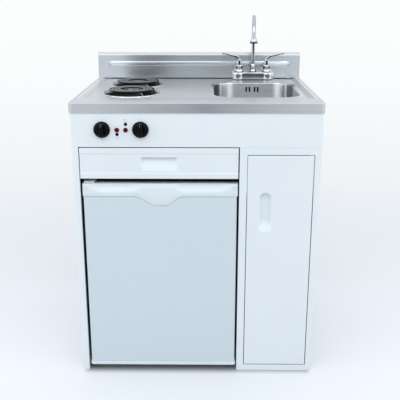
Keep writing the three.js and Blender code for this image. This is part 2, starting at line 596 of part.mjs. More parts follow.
// The ceramic receptacle under the worktop, with a socket for each of the element's two ends.
function terminalBlock() {
  const z = -COIL.leadDrop;
  const body = block([100, 128], [-19, 19], [z - 9, z + 5.2]);
  const bridge = block([106, 124], [-26, 26], [z - 9, z - 6]);
  const socket = (side) => block([98, 122], [side * COIL.lead - 5, side * COIL.lead + 5], [z - 6.4, z + 4.4]);
  return cut(join(body, bridge), socket(-1), socket(1));
}

function addBurners() {
  const points = coilPoints();
  console.log(`coil element: least gap to itself ${leastGap(points, COIL.wire).toFixed(2)} mm`);
  for (const name of ['front', 'rear']) {
    const burner = new THREE.Group();
    burner.position.set(BURNER.x, BURNER[name], BURNER.plane);
    unit.add(burner);
    add(`coil_element_${name}`, pipe(points, COIL.wire, 6), COIL_STEEL, burner);
    add(`element_support_${name}`, elementSupport(), STAINLESS, burner);
    add(`drip_pan_${name}`, dripPan(), CHROME, burner);
    add(`terminal_block_${name}`, terminalBlock(), CERAMIC, burner);
  }
}

// ---------------------------------------------------------------- controls
// A knob: a domed skirt, a grip bar with a rounded nose across it, and a stem that runs back into the switch.
function knobBody() {
  const skirt = turned([[0, 0], [KNOB.radius, 0], [KNOB.radius, 3], [21.5, 7], [14, 9.5], [0, 10]], 22);
  const grip = (halfX, halfZ, z) => rectangleRing(0, 0, halfX, halfZ, halfX * 0.6, z, 3);
  const bar = loft([grip(7.5, 21, 5), grip(6.8, 20.5, 14), grip(5.6, 19.5, 20), grip(3.8, 17.5, KNOB.reach)]);
  return join(skirt, bar, drum(3, -26, 4, 12));
}

function addControls() {
  const faceY = HOUSING.front;
  ['front', 'rear'].forEach((name, i) => {
    const control = new THREE.Group();
    control.position.set(KNOB.x[i], faceY - 1, KNOB.z);
    control.rotation.x = Math.PI / 2;
    unit.add(control);
    add(`control_knob_${name}`, knobBody(), BLACK_PLASTIC, control);
    const body = block([-22, 22], [-17, 17], [-37, -5]);
    const bush = drum(6.5, -6, -3, 16);
    const tabs = [-14, -5, 5, 14].map((x) => block([x - 0.6, x + 0.6], [-3, 3], [-46, -36]));
    const bore = drum(3.6, -29, 2, 16);
    add(`burner_switch_${name}`, cut(join(body, bush, ...tabs), bore), BLACK_PLASTIC, control);
  });
  ['left', 'right'].forEach((name, i) => {
    const lens = turned([[0, -22], [4.8, -22], [4.8, 0.4], [LAMP.lens, 0.4], [LAMP.lens, 2], [5.6, 3.6], [3, 4.6],
      [0, 4.9]], 16);
    add(`indicator_lamp_${name}`, lens.rotateX(Math.PI / 2).translate(LAMP.x[i], faceY, LAMP.z), RED_LENS);
  });
}

// ---------------------------------------------------------------- drawer
// A folded pan with two shallow steps across its face and a scooped finger pull that is deepest at its top edge.
function addDrawerFront() {
  const { left, right, bottom, top } = DRAWER;
  const front = HOUSING.front;
  const depth = 18;
  const step = 1.6;
  const face = [[front, top - 2], [front, top - 17], [front + step, top - 19], [front + step, bottom + 19],
    [front, bottom + 17], [front, bottom + 2]];
  const section = new THREE.Shape([[front + depth, top], [front + 2, top], ...face, [front + 2, bottom],
    [front + depth, bottom]].map(([y, z]) => new THREE.Vector2(y, z)));
  const hollow = new THREE.Shape([[front + depth + 5, top - PAN_SHEET], [front + 2 + step, top - PAN_SHEET],
    [front + step + PAN_SHEET, top - 4], [front + step + PAN_SHEET, bottom + 4],
    [front + 2 + step, bottom + PAN_SHEET], [front + depth + 5, bottom + PAN_SHEET]]
    .map(([y, z]) => new THREE.Vector2(y, z)));
  const pan = cut(across(section, left, right), across(hollow, left + PAN_SHEET, right - PAN_SHEET));
  const scoop = (grow) => {
    const [high, low] = [724.5 + grow, 682.5 - grow];
    const ring = (y, x0, x1, z0, z1) => [[x0, z0], [x1, z0], [x1, z1], [x0, z1]]
      .map(([x, z]) => new THREE.Vector3(x, y, z));
    return loft([ring(front - 1 + grow, -169 - grow, -57 + grow, low, high),
      ring(front + 5 + grow, -168 - grow, -58 + grow, low + 4, high),
      ring(front + 13 + grow, -163 - grow, -63 + grow, low + 22, high - 1)]);
  };
  add('drawer_front', cut(join(pan, cut(scoop(PAN_SHEET), block([-200, 0], [-20, front + step], [600, 800]))),
    scoop(0)), WHITE_PAINT);
}

function addDrawerBox() {
  const front = HOUSING.front + 18 + GAP;
  const [x0, x1] = [-344, 114];
  const [z0, z1] = [668, 728];
  const wall = PAN_SHEET;
  const tray = cut(block([x0, x1], [front, front + DRAWER.depth], [z0, z1]),
    block([x0 + wall, x1 - wall], [front + wall, front + DRAWER.depth - wall], [z0 + wall, z1 + 5]));
  const member = (edge, outer) => block([Math.min(edge, outer), Math.max(edge, outer)],
    [front + 6, front + DRAWER.depth - 4], [697, 705]);
  add('drawer_box', join(tray, member(x0 + 0.5, x0 - 5), member(x1 - 0.5, x1 + 5)), ZINC);

  // Each runner is a channel that opens toward the drawer, on a bracket that reaches back to the sheet it hangs on.
  const runner = (wallX, mouthX) => {
    const side = Math.sign(mouthX - wallX);
    const web = mouthX - side * 7;
    return folded([[mouthX, 693.5], [web, 693.5], [web, 708.5], [mouthX, 708.5]], -side * PAN_SHEET, 1);
  };
  const bracket = (wallX, mouthX) => {
    const side = Math.sign(mouthX - wallX);
    const web = mouthX - side * 7;
    return block([Math.min(wallX, web), Math.max(wallX, web)], [60, front + DRAWER.depth - 20], [699, 703]);
  };
  const hang = (wallX) => block([wallX - 0.8, wallX + 0.8], [60, front + DRAWER.depth - 20], [686, 716]);
  for (const [name, wallX, mouthX] of [['left', -378.5 + GAP + 0.8, -346], ['right', 132.3 - GAP - 0.8, 116]]) {
    const channel = inward(runner(wallX, mouthX), front + 4, front + DRAWER.depth - 2);
    add(`drawer_runner_${name}`, join(channel, bracket(wallX, mouthX), hang(wallX)), ZINC);
  }
}

// ---------------------------------------------------------------- cupboard door
// A folded pan with a tall scooped pull near its free edge, on a pin at the top and one at the foot.
function addCupboardDoor() {
  const { left, right, bottom, top, depth, pinX, pinY } = CUPBOARD_DOOR;
  const front = HOUSING.front;
  const edge = 3;
  const pan = cut(
    upright(outline([[left, front, edge], [right, front, edge], [right, front + depth], [left, front + depth]], 3),
      bottom, top),
    block([left + PAN_SHEET, right - PAN_SHEET], [front + PAN_SHEET, front + depth + 5],
      [bottom + PAN_SHEET, top - PAN_SHEET]));
  const lip = (x0, x1) => block([x0, x1], [front + depth - PAN_SHEET, front + depth], [bottom + 0.5, top - 0.5]);
  const pull = (grow) => {
    const ring = (y, x0, x1, inset) => rectangleRing((x0 + x1) / 2, 549, (x1 - x0) / 2 + grow, 65.5 - inset + grow,
      10 + grow, y, 3).map((point) => new THREE.Vector3(point.x, point.z, point.y));
    return loft([ring(front - 1 + grow, 191.5, 231.5, 0), ring(front + 4 + grow, 192.5, 230.5, 1),
      ring(front + 12 + grow, 196, 224, 8)]);
  };
  const shell = cut(pull(PAN_SHEET), block([150, 300], [-20, front + 0.3], [400, 700]));
  const sockets = [drum(3.6, top - 20, top + 5, 16), drum(3.6, bottom - 5, bottom + 20, 16)]
    .map((hole) => hole.translate(pinX, pinY, 0));
  const door = join(pan, lip(left + 0.5, left + 14), lip(right - 14, right - 0.5), shell);
  add('storage_door', cut(door, pull(0), ...sockets), WHITE_PAINT);

  // Each hinge is a pin on a small plate that turns back behind the rail.
  const hinge = (plateZ, pinEnd, riserEnd) => join(
    block([pinX - 9, pinX + 7], [pinY - 4, 24], plateZ),
    block([pinX - 9, pinX + 7], [24 - PAN_SHEET, 24], [Math.min(plateZ[0], riserEnd), Math.max(plateZ[1], riserEnd)]),
    drum(3, Math.min(pinEnd, plateZ[0] + 0.2), Math.max(pinEnd, plateZ[1] - 0.2), 16).translate(pinX, pinY, 0));
  add('storage_hinge_top', hinge([top + 0.5, top + 1.7], top - 9, top + 17), ZINC);
  add('storage_hinge_bottom', hinge([bottom - 1.7, bottom - 0.5], bottom + 9, bottom - 1.8), ZINC);
}

// ---------------------------------------------------------------- refrigerator
function addFridgeCabinet() {
  const { left, right, front, back, bottom, top, wall } = FRIDGE;
  const [x0, x1] = [left + 2, right - 2];
  const notch = { depth: 140, height: 200 };
  const shell = block([x0, x1], [front, back], [bottom, top]);
  const compressorBay = block([x0 + 12, x1 - 12], [back - notch.depth, back + 5], [bottom - 5, notch.height]);
  const room = (inset, mouth) => {
    const floor = bottom + 36 + inset;
    const stepY = back - notch.depth - wall - inset;
    const stepZ = notch.height + wall + inset;
    const section = outline([[mouth, floor], [stepY, floor, 12], [stepY, stepZ, 8], [back - 35 - inset, stepZ, 12],
      [back - 35 - inset, top - wall - inset, 12], [mouth, top - wall - inset]], 2);
    return across(section, x0 + wall + inset, x1 - wall - inset);
  };
  const feet = [[x0 + 28, 78], [x1 - 28, 78], [x0 + 28, 400], [x1 - 28, 400]].map(([x, y]) =>
    turned([[0, 0], [13, 0], [15, 4], [15, 9], [6, 11], [6, bottom + 3], [0, bottom + 3]], 10).translate(x, y, 0));
  add('fridge_cabinet', join(cut(shell, compressorBay, room(0, front - 5)), ...feet), WHITE_PAINT);

  const skin = cut(room(GAP, front + 0.5), room(GAP + 1.6, front - 5));
  const ledges = [245, 385].flatMap((z) => [
    block([x0 + wall + 1, x0 + wall + 9], [front + 52, back - 60], [z, z + 5]),
    block([x1 - wall - 9, x1 - wall - 1], [front + 52, back - 60], [z, z + 5])]);
  const control = block([x1 - wall - 52, x1 - wall - 1], [front + 70, front + 130], [540, 586]);
  const spindle = drum(4.2, -12, 12, 16).rotateX(Math.PI / 2).translate(x1 - wall - 26, front + 70, 563);
  add('fridge_liner', cut(join(skin, ...ledges, control), spindle), LINER_PLASTIC);
  const dial = turned([[0, 0], [16, 0], [16, 4], [13, 12], [0, 13]], 16);
  const grip = block([-2, 2], [-15, 15], [11, 18]);
  const shaft = drum(3.4, -9, 1, 12);
  add('thermostat_dial', join(dial, grip, shaft).rotateX(Math.PI / 2)
    .translate(x1 - wall - 26, front + 69.2, 563), WHITE_PLASTIC);
}

function addFridgeInside() {
  const { left, right, front, back, top, wall } = FRIDGE;
  const [x0, x1] = [left + 2 + wall + 2.2, right - 2 - wall - 2.2];
  // Each shelf is a glass plate with a moulded edge along its front and its back.
  const shelf = (z, rear) => across(outline([[front + 42, z - 6], [front + 46, z - 6], [front + 46, z], [rear - 4, z],
    [rear - 4, z - 3], [rear, z - 3], [rear, z + 8], [rear - 3, z + 8], [rear - 3, z + 4], [front + 46, z + 4],
    [front + 42, z + 5]]), x0 + 0.5, x1 - 0.5);
  add('fridge_shelf_lower', shelf(250 + GAP, back - 50), GLASS);
  add('fridge_shelf_upper', shelf(390 + GAP, back - 50), GLASS);

  // The ice box is a folded sheet under the ceiling, open at the front behind its flap.
  const [ice0, ice1] = [x0 + 1, x1 - 60];
  const [iceLow, iceHigh] = [470, top - wall - 2.4];
  const box = cut(block([ice0, ice1], [front + 62, back - 70], [iceLow, iceHigh]),
    block([ice0 + 1.6, ice1 - 1.6], [front + 50, back - 72], [iceLow + 1.6, iceHigh - 1.6]));
  add('freezer_box', box, ZINC);
  const flap = join(block([ice0, ice1], [front + 55, front + 61.6], [iceLow + 2, iceHigh - 4]),
    block([-160, -60], [front + 47, front + 56], [iceLow + 8, iceLow + 14]));
  add('freezer_flap', flap, WHITE_PLASTIC);
}

// The sealed compressor on its cross plate, and the condenser: one long tube in level passes, held by two straps.
function addRefrigeration() {
  const { left, right, back, bottom } = FRIDGE;
  const pot = { x: -112, y: back - 68, z: 32 };
  const dome = turned([[0, 0], [52, 0], [62, 8], [64, 50], [66, 52], [66, 56], [64, 58], [62, 96], [50, 124],
    [28, 136], [0, 140]], 16).scale(1.25, 0.8, 1).translate(pot.x, pot.y, pot.z);
  const crossPlate = block([left + 2 + 12.4, right - 2 - 12.4], [back - 130, back - 6], [bottom + 2, bottom + 4]);
  const cushions = [[-80, -40], [80, -40], [-80, 40], [80, 40]].map(([x, y]) =>
    drum(9, bottom + 3, pot.z + 10, 8).translate(pot.x + x, pot.y + y, 0));
  const bars = [-40, 40].map((y) => block([pot.x - 92, pot.x + 92], [pot.y + y - 10, pot.y + y + 10],
    [pot.z + 4, pot.z + 7]));
  add('compressor', join(dome, crossPlate, ...bars, ...cushions), BLACK_STEEL);

  const passes = 10;
  const rise = 40;
  const plane = back + 23;
  const [low, xLeft, xRight] = [216, -305, 85];
  const points = [[-10, back - 40, 160], [-10, back - 10, 160], [-10, back + 12, 162], [-10, plane - 1, 172],
    [-10, plane, 190], [0, plane, low - 8], [16, plane, low]];
  for (let pass = 0; pass < passes; pass += 1) {
    const z = low + pass * rise;
    const goesRight = pass % 2 === 0;
    const side = goesRight ? 1 : -1;
    const endX = goesRight ? xRight : xLeft;
    if (pass > 0) points.push([goesRight ? xLeft : xRight, plane, z]);
    if (pass < passes - 1) {
      span(-Math.PI / 2, Math.PI / 2, 3).forEach((a) => points.push([endX + side * (rise / 2) * Math.cos(a), plane,
        z + rise / 2 + (rise / 2) * Math.sin(a)]));
      points.pop();
    } else {
      points.push([endX, plane, z]);
    }
  }
  const tube = pipe(points.map(([x, y, z]) => new THREE.Vector3(x, y, z)), 2.5, 5);
  const high = low + (passes - 1) * rise;
  const straps = [-230, -60].flatMap((x) => [block([x, x + 12], [plane + 1, plane + 2.6], [low - 6, high + 14]),
    block([x, x + 12], [back + GAP, plane + 2.6], [high + 12, high + 14]),
    block([x, x + 12], [back + GAP, plane + 2.6], [low - 8, low - 6])]);
  add('condenser_coil', join(tube, ...straps), BLACK_STEEL);
}

// The front of a moulded trim falls back to its rounded corner near each end.
function trimFace(x) {
  const { corner, face } = TRIM;
  const fromEnd = Math.min(x - FRIDGE.trimLeft, FRIDGE.trimRight - x, corner);
  return face + corner - Math.sqrt(corner ** 2 - (corner - fromEnd) ** 2);
}

// The top trim: two long finger scoops along its upper edge, and a lower edge that runs level and swells down into a
// rounded tongue over the door's face.
function topTrim() {
  const { trimLeft, trimRight, doorTop } = FRIDGE;
  const { line, back } = TRIM;
  const stations = [...span(trimLeft, trimLeft + 10, 3), ...span(trimLeft + 20, trimRight - 20, 28),
    ...span(trimRight - 10, trimRight, 3)];
  return loft(stations.map((x) => {
    const face = trimFace(x);
    const scoopEdge = 637 - 8 * hump(x, trimLeft + 5, trimRight - 5, 25)
      - 12 * (hump(x, -340, -160, 48) + hump(x, -80, 112, 48));
    const drop = doorTop - scoopEdge;
    const lip = Math.min(face + drop * 0.85, back - 3);
    const tongue = smooth(-190, -126, x) * (1 - smooth(-100, -42, x));
    const low = line - 0.8 - 28.7 * tongue;
    return [[back, line], [back, doorTop], [lip, doorTop], [mix(face, lip, 0.5) + 1.5, doorTop - drop * 0.62],
      [face + 0.6, scoopEdge + 0.6], [face, scoopEdge - 0.8], [face, low], [Math.max(face, TRIM.face) + 1.2, low],
      [Math.max(face, TRIM.face) + 1.2, line]].map(([y, z]) => new THREE.Vector3(x, y, z));
  }));
}

function addFridgeDoor() {
  const { left, right, trimLeft, trimRight, doorBottom, doorTop, doorBack, front, pinX, pinY } = FRIDGE;
  const face = HOUSING.front;
  const { line, back, corner } = TRIM;
  const bottomLine = 32;
  const panelPlan = outline([[left, face, 8], [right, face, 8], [right, doorBack, 4], [left, doorBack, 4]]);
  add('fridge_door', upright(panelPlan, bottomLine + GAP, line - GAP), DOOR_PAINT);

  const socket = (z0, z1) => drum(3.7, z0, z1, 16).translate(pinX, pinY, 0);
  add('fridge_door_top_trim', cut(topTrim(), socket(doorTop - 18, doorTop + 5)), WHITE_PLASTIC);
  const bottomPlan = outline([[trimLeft, TRIM.face + 0.6, corner], [trimRight, TRIM.face + 0.6, corner],
    [trimRight, back, 3], [trimLeft, back, 3]]);
  add('fridge_door_bottom_trim', cut(upright(bottomPlan, doorBottom, bottomLine),
    socket(doorBottom - 5, bottomLine - 2)), WHITE_PLASTIC);

  const ring = plate(pinX + 2, right - 19, 42, 622, 4, 1);
  ring.holes.push(plate(pinX + 14, right - 31, 54, 610, 2, 1));
  const sealBack = front - GAP;
  add('fridge_door_gasket', inward(ring, doorBack + GAP, sealBack), RUBBER);

  // The inner skin of the door carries three racks, each a trough that is open at its top.
  const plateBack = doorBack + GAP;
  const skin = inward(plate(pinX + 15, right - 32, 56, 608, 12, 3), plateBack, plateBack + 5);
  const racks = [[62, 150, 96], [262, 330, 88], [440, 500, 84]];
  const [rackLeft, rackRight] = [-304, 76];
  const troughs = racks.map(([low, high, reach]) => across(outline([[plateBack + 2, low], [reach - 4, low, 4],
    [reach, high], [plateBack + 2, high]], 2), rackLeft, rackRight));
  const pockets = racks.map(([low, high, reach]) => across(outline([[plateBack + 8, low + 3], [reach - 6, low + 3, 3],
    [reach - 2, high + 5], [plateBack + 8, high + 5]], 2), rackLeft + 2, rackRight - 2));
  add('fridge_door_liner', cut(join(skin, ...troughs), ...pockets), LINER_PLASTIC);
}

function addFridgeHinges() {
  const { front, bottom, top, doorTop, doorBottom, pinX, pinY } = FRIDGE;
  const wide = [pinX - 15, pinX + 17];
  const plateZ = doorTop + 0.8;
  const cover = across(outline([[pinY - 8, plateZ + 2], [72, plateZ + 2], [72, plateZ + 8, 3], [pinY + 4, plateZ + 7, 4],
    [pinY - 8, plateZ + 4]], 2), wide[0], wide[1]);
  const upper = join(block(wide, [pinY - 8, 74], [plateZ, plateZ + 2.5]),
    block(wide, [front + 4, 74], [top + GAP, plateZ + 1]), cover,
    drum(3, doorTop - 14, plateZ + 1, 16).translate(pinX, pinY, 0));
  add('fridge_hinge_top', upper, WHITE_PLASTIC);
  const lower = join(block(wide, [pinY - 8, 64], [doorBottom - 3.6, doorBottom - 0.8]),
    block(wide, [front + 3, 64], [doorBottom - 2, bottom - GAP]),
    drum(3, doorBottom - 2, doorBottom + 9, 16).translate(pinX, pinY, 0));
  add('fridge_hinge_bottom', lower, ZINC);
}

addSides();
addControlPanel();
addCupboardFrame();
addInnerHousing();
addCableGland();
addWorktop();
addBacksplash();
addSinkBowl();
addDrain();
addTapTop(addTapBase());
addBurners();
addControls();
addDrawerFront();
addDrawerBox();
addCupboardDoor();
addFridgeCabinet();
addFridgeInside();
addRefrigeration();
addFridgeDoor();
addFridgeHinges();

// The origin is under the middle of the whole unit, on the floor.
unit.position.set(0, -(FRONT + REAR) / 2, 0);
const kitchenette = new THREE.Group();
kitchenette.add(unit);
kitchenette.updateMatrixWorld(true);

export default kitchenette;
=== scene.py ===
"""The looks of a compact kitchenette unit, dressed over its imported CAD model.

Lengths in the code are millimetres, X to the right, Y back from the front face of the worktop's apron, Z up
from the floor. The function place() turns them into the frame's metres.
"""

import functools
import json
import math

import bmesh
import bpy
import numpy as np
from mathutils import Matrix, Vector


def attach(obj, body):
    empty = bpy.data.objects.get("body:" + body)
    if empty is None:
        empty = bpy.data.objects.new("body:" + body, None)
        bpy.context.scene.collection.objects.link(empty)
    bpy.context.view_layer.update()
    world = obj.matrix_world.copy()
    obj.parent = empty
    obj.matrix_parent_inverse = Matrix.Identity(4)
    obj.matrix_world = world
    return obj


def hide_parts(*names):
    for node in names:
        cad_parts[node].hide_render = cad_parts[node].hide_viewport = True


bl_info = {
    "name": "Kitchenette unit",
    "version": (1, 0, 0),
    "blender": (4, 5, 0),
    "location": "3D View > Sidebar > Kitchenette",
    "description": "Finishes and fine shapes for a kitchenette with a sink, two burners and a refrigerator",
    "category": "Object",
}

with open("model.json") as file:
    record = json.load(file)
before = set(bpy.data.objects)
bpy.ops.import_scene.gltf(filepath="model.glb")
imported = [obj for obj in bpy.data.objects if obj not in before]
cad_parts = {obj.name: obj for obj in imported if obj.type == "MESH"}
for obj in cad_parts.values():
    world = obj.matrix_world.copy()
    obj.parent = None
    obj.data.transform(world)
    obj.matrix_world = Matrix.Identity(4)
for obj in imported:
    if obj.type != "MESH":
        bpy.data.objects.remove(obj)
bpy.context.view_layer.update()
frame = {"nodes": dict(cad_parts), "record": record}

BODY_OF = {node: body for body, nodes in frame["record"]["behaviour"]["bodies"].items() for node in nodes}
SLOT_OF = {part["node"]: part["material_slot"] for part in frame["record"]["subparts"]}

# Sizes and places in millimetres. x, y and z are places, half_ and radius sizes are from a middle.
APRON_Y = -303.5          # the frame's Y of the apron's front face
HEIGHT = 889.0            # top of the worktop's raised edge
DECK = 886.0              # floor of the worktop's pressed recess
BOWL = {"x": 192.0, "y": 319.0, "half_x": 138.0, "half_y": 175.0, "corner": 70.0, "depth": 140.0, "rim": 10.0,
        "drain": 45.0}
OVERFLOW = {"x": 2.5, "slots": (-20.8, -9.3, 9.3, 20.8), "half": 3.2, "top": 17.0, "low": 36.0}
TAP = {"x": 202.0, "y": 588.0, "base": DECK + 0.3, "seat": 914.9, "end": 56.0, "end_radius": 22.0,
       "half_depth": 17.0, "spread": 51.0, "reach": 138.0, "arch_top": 1117.0, "tube": 6.8, "turn": -3.3}
BURNER = {"x": -216.0, "front": 222.0, "rear": 434.0, "plane": 900.0}
COIL = {"turns": 4, "start": -42.0, "end": 24.0, "inner": 35.0, "outer": 73.8, "tube": 3.2, "flat": 2.35}
PAN_GATE = {"x": 66.0, "half_y": 12.0, "z": -21.2, "half_z": 6.2}   # opening for the coil's leads
KNOBS = {"front": -283.0, "rear": -167.5}
LAMPS = {"left": -238.0, "right": -212.0}
CONTROL_Z = 810.0
PANEL_Y = 3.0             # face of the control panel, the drawer and the doors
FOLD = 2.2                # radius of a sheet panel's folded edges
DRAWER = {"left": -355.0, "right": 127.0, "bottom": 658.0, "top": 754.0, "depth": 18.0, "lip": 0.0,
          "step": 1.1, "band": (17.0, 19.0), "pull": (-169.0, -57.0, 682.5, 724.5), "pull_depth": 13.0}
CUPBOARD_DOOR = {"left": 155.0, "right": 355.5, "bottom": 22.2, "top": 731.0, "depth": 18.0, "lip": 13.5,
                 "pull_x": 211.5, "pull_half": 20.0, "pull_low": 483.5, "pull_high": 614.5,
                 "pull_depth": 12.0}
TRIM = {"left": -351.5, "right": 127.0, "top": 642.0, "line": 603.0, "overlap": 0.8, "face": 1.2,
        "back": 34.0, "corner": 10.0, "edge": 637.0, "dip": 8.0, "wave": 12.0, "ease": 48.0,
        "waves": ((-340.0, -160.0), (-80.0, 112.0))}
TONGUE = {"left": (-190.0, -126.0), "right": (-100.0, -42.0), "drop": 28.7}   # where it swells and how far
RECESS = {"side": 367.0, "front": 96.0, "slope": 20.0}   # half width, front edge and run of its slope
SPLASH = {"face": 611.6, "bead_end": 333.0, "bead_z": 942.5, "bead_radius": 6.5}
SCREWS = {"side_x": (-369.0, 369.0), "side_y": 620.0, "heights": (60, 250, 440, 630, 820),
          "row_x": (-250, -90, 90, 250), "row_y": 618.2, "rows": (850, 14)}
ALONG_X, ALL_ROUND = (8.0, 1500.0, 1500.0), (120.0, 120.0, 120.0)   # how a brushed pattern is stretched
UP, FRONT = np.array([0.0, 0.0, 1.0]), np.array([0.0, -1.0, 0.0])


# ---------------------------------------------------------------- shader maths
class Wire:
    """A socket in shader maths: an expression on wires adds its Math nodes."""

    def __init__(self, paint, socket):
        self.paint = paint
        self.socket = socket

    def maths(self, operation, *values):
        return self.paint.node("ShaderNodeMath", {"operation": operation}, dict(enumerate(values)))

    def __add__(self, other):
        return self.maths("ADD", self, other)

    def __sub__(self, other):
        return self.maths("SUBTRACT", self, other)

    def __rsub__(self, other):
        return self.maths("SUBTRACT", other, self)

    def __mul__(self, other):
        return self.maths("MULTIPLY", self, other)

    def __truediv__(self, other):
        return self.maths("DIVIDE", self, other)

    def __rtruediv__(self, other):
        return self.maths("DIVIDE", other, self)

    def __pow__(self, other):
        return self.maths("POWER", self, other)

    def __abs__(self):
        return self.maths("ABSOLUTE", self)

    __radd__ = __add__
    __rmul__ = __mul__

    def at_least(self, other):
        return self.maths("MAXIMUM", self, other)

    def at_most(self, other):
        return self.maths("MINIMUM", self, other)

    def ramp(self, low, high):
        """0 below low and 1 above high, eased smoothly between them."""
        return self.paint.node("ShaderNodeMapRange", {"interpolation_type": "SMOOTHSTEP"},
                               {0: self, 1: low, 2: high})


class Paint:
    """A node tree that is being built: a material with one Principled shader, or the world."""

    def __init__(self, tree):
        self.tree = tree
        self.shader = None
        tree.nodes.clear()

    def node(self, kind, settings=None, inputs=None, output=0):
        """A node of any kind. Its settings are set first, then its sockets, from numbers, colours or
        wires."""
        made = self.tree.nodes.new(kind)
        for name, value in (settings or {}).items():
            setattr(made, name, value)
        for key, value in (inputs or {}).items():
            self.feed(made.inputs[key], value)
        return Wire(self, made.outputs[output] if len(made.outputs) else None)

    def feed(self, socket, value):
        if isinstance(value, Wire):
            self.tree.links.new(value.socket, socket)
        else:
            socket.default_value = value

    def cover(self, tone, roughness, relief=None):
        """Feeds the material's shader with its colour, its roughness and its relief."""
        self.feed(self.shader.inputs["Base Color"], tone)
        self.feed(self.shader.inputs["Roughness"], roughness)
        if relief:
            self.feed(self.shader.inputs["Normal"], relief)

    def coordinates(self, stretch=(1.0, 1.0, 1.0), shift=(0.0, 0.0, 0.0)):
        source = self.node("ShaderNodeTexCoord", output="Object")
        return self.node("ShaderNodeMapping", None, {"Vector": source, "Location": shift, "Scale": stretch})

    def split(self, vector):
        axes = self.node("ShaderNodeSeparateXYZ", None, {0: vector}).socket.node
        return [Wire(self, output) for output in axes.outputs]

    def places(self):
        """The object's X, Y and Z in the code's own millimetres."""
        return self.split(self.coordinates((1000.0, 1000.0, 1000.0), (0.0, -APRON_Y, 0.0)))

    def noise(self, scale, detail, rough=0.5, stretch=(1.0, 1.0, 1.0)):
        sockets = {"Vector": self.coordinates(stretch), "Scale": scale, "Detail": detail, "Roughness": rough}
        return self.node("ShaderNodeTexNoise", None, sockets)

    def cells(self, scale, output="Distance"):
        return self.node("ShaderNodeTexVoronoi", None, {"Vector": self.coordinates(), "Scale": scale}, output)

    def attribute(self, name):
        """A share from 0 to 1 that the mesh carries at each point."""
        return self.node("ShaderNodeAttribute", {"attribute_name": name}, None, "Fac")

    def rays(self, *kinds):
        """1 for rays of the given kinds and 0 for all others."""
        outputs = [self.node("ShaderNodeLightPath", output=f"Is {kind} Ray") for kind in kinds]
        return functools.reduce(Wire.at_least, outputs)

    def blend(self, factor, first, second):
        """A colour between two colours."""
        return self.node("ShaderNodeMix", {"data_type": "RGBA"}, {0: factor, 6: first, 7: second}, 2)

    def patched(self, pattern, shade, share):
        """A shade that is dimmed to a share of itself where the pattern is 1."""
        return self.blend(pattern, shade, dimmer(shade, share))

    def streaked(self, hair, tone, depth, high=0.72):
        """A tone that loses up to the given depth of its light in the dark hairs of a pattern."""
        return self.blend(1.0 - depth * hair.ramp(0.3, high), colour(0.0, 0.0, 0.0), tone)

    def bump(self, height, strength, depth_mm):
        sockets = {"Height": height, "Strength": strength, "Distance": depth_mm / 1000}
        return self.node("ShaderNodeBump", None, sockets)


def colour(red, green, blue):
    return (red, green, blue, 1.0)


def dimmer(shade, share):
    return colour(*(channel * share for channel in shade[:3]))


FINISHES = {}
METAL = {"Metallic": 1.0}


def finish(name, sockets):
    """A material with one Principled shader. Each finish starts with this and then covers it."""
    material = bpy.data.materials.new(name)
    material.use_nodes = True
    paint = Paint(material.node_tree)
    shader = paint.node("ShaderNodeBsdfPrincipled", None, sockets)
    paint.node("ShaderNodeOutputMaterial", None, {"Surface": shader})
    paint.shader = shader.socket.node
    FINISHES[name] = material
    return paint


def glossy(coat, coat_roughness, shine):
    return {"Coat Weight": coat, "Coat Roughness": coat_roughness, "Specular IOR Level": shine}


def make_enamel(name, shade, peel, gloss, gap_shade=None):
    """Baked enamel: a faint orange peel, a little unevenness in its gloss and a slightly deeper colour in
    patches. What is folded back, as the attribute "folded" says, can take a dark colour: painted shade for
    the gaps round a panel."""
    paint = finish(name, glossy(0.25, 0.12, 0.45))
    tone = paint.patched(paint.noise(3.0, 3.0).ramp(0.3, 0.75), shade, 0.975)
    if gap_shade:
        tone = paint.blend(paint.attribute("folded"), tone, gap_shade)
    orange_peel = paint.bump(paint.noise(420.0, 1.0), peel, 0.12)
    paint.cover(tone, gloss + 0.08 * paint.noise(14.0, 4.0), orange_peel)


def make_pebbled_enamel(name, shade):
    """The refrigerator door's paint over fine embossed steel: small soft pebbles, a satin gloss and a line
    of painted shadow under the top trim's wavy edge."""
    paint = finish(name, glossy(0.12, 0.3, 0.4))
    pebbles = paint.cells(420.0) * 0.7 + paint.noise(900.0, 1.0) * 0.5
    tone = paint.patched(paint.noise(2.2, 2.0).ramp(0.3, 0.75), shade, 0.965)
    tone = paint.blend(pebbles.ramp(0.2, 0.75), tone, dimmer(shade, 0.94))
    across, _, height = paint.places()
    tongue = across.ramp(*TONGUE["left"]) * (1 - across.ramp(*TONGUE["right"]))
    below = TRIM["line"] - TRIM["overlap"] - TONGUE["drop"] * tongue - height
    # painted shadow: a dark line just under the top trim's lower edge
    tone = paint.blend(0.55 * (1 - below.ramp(0.5, 2.5)), tone, dimmer(shade, 0.25))
    paint.cover(tone, 0.36 + 0.1 * paint.noise(9.0, 3.0), paint.bump(pebbles, 0.35, 0.15))


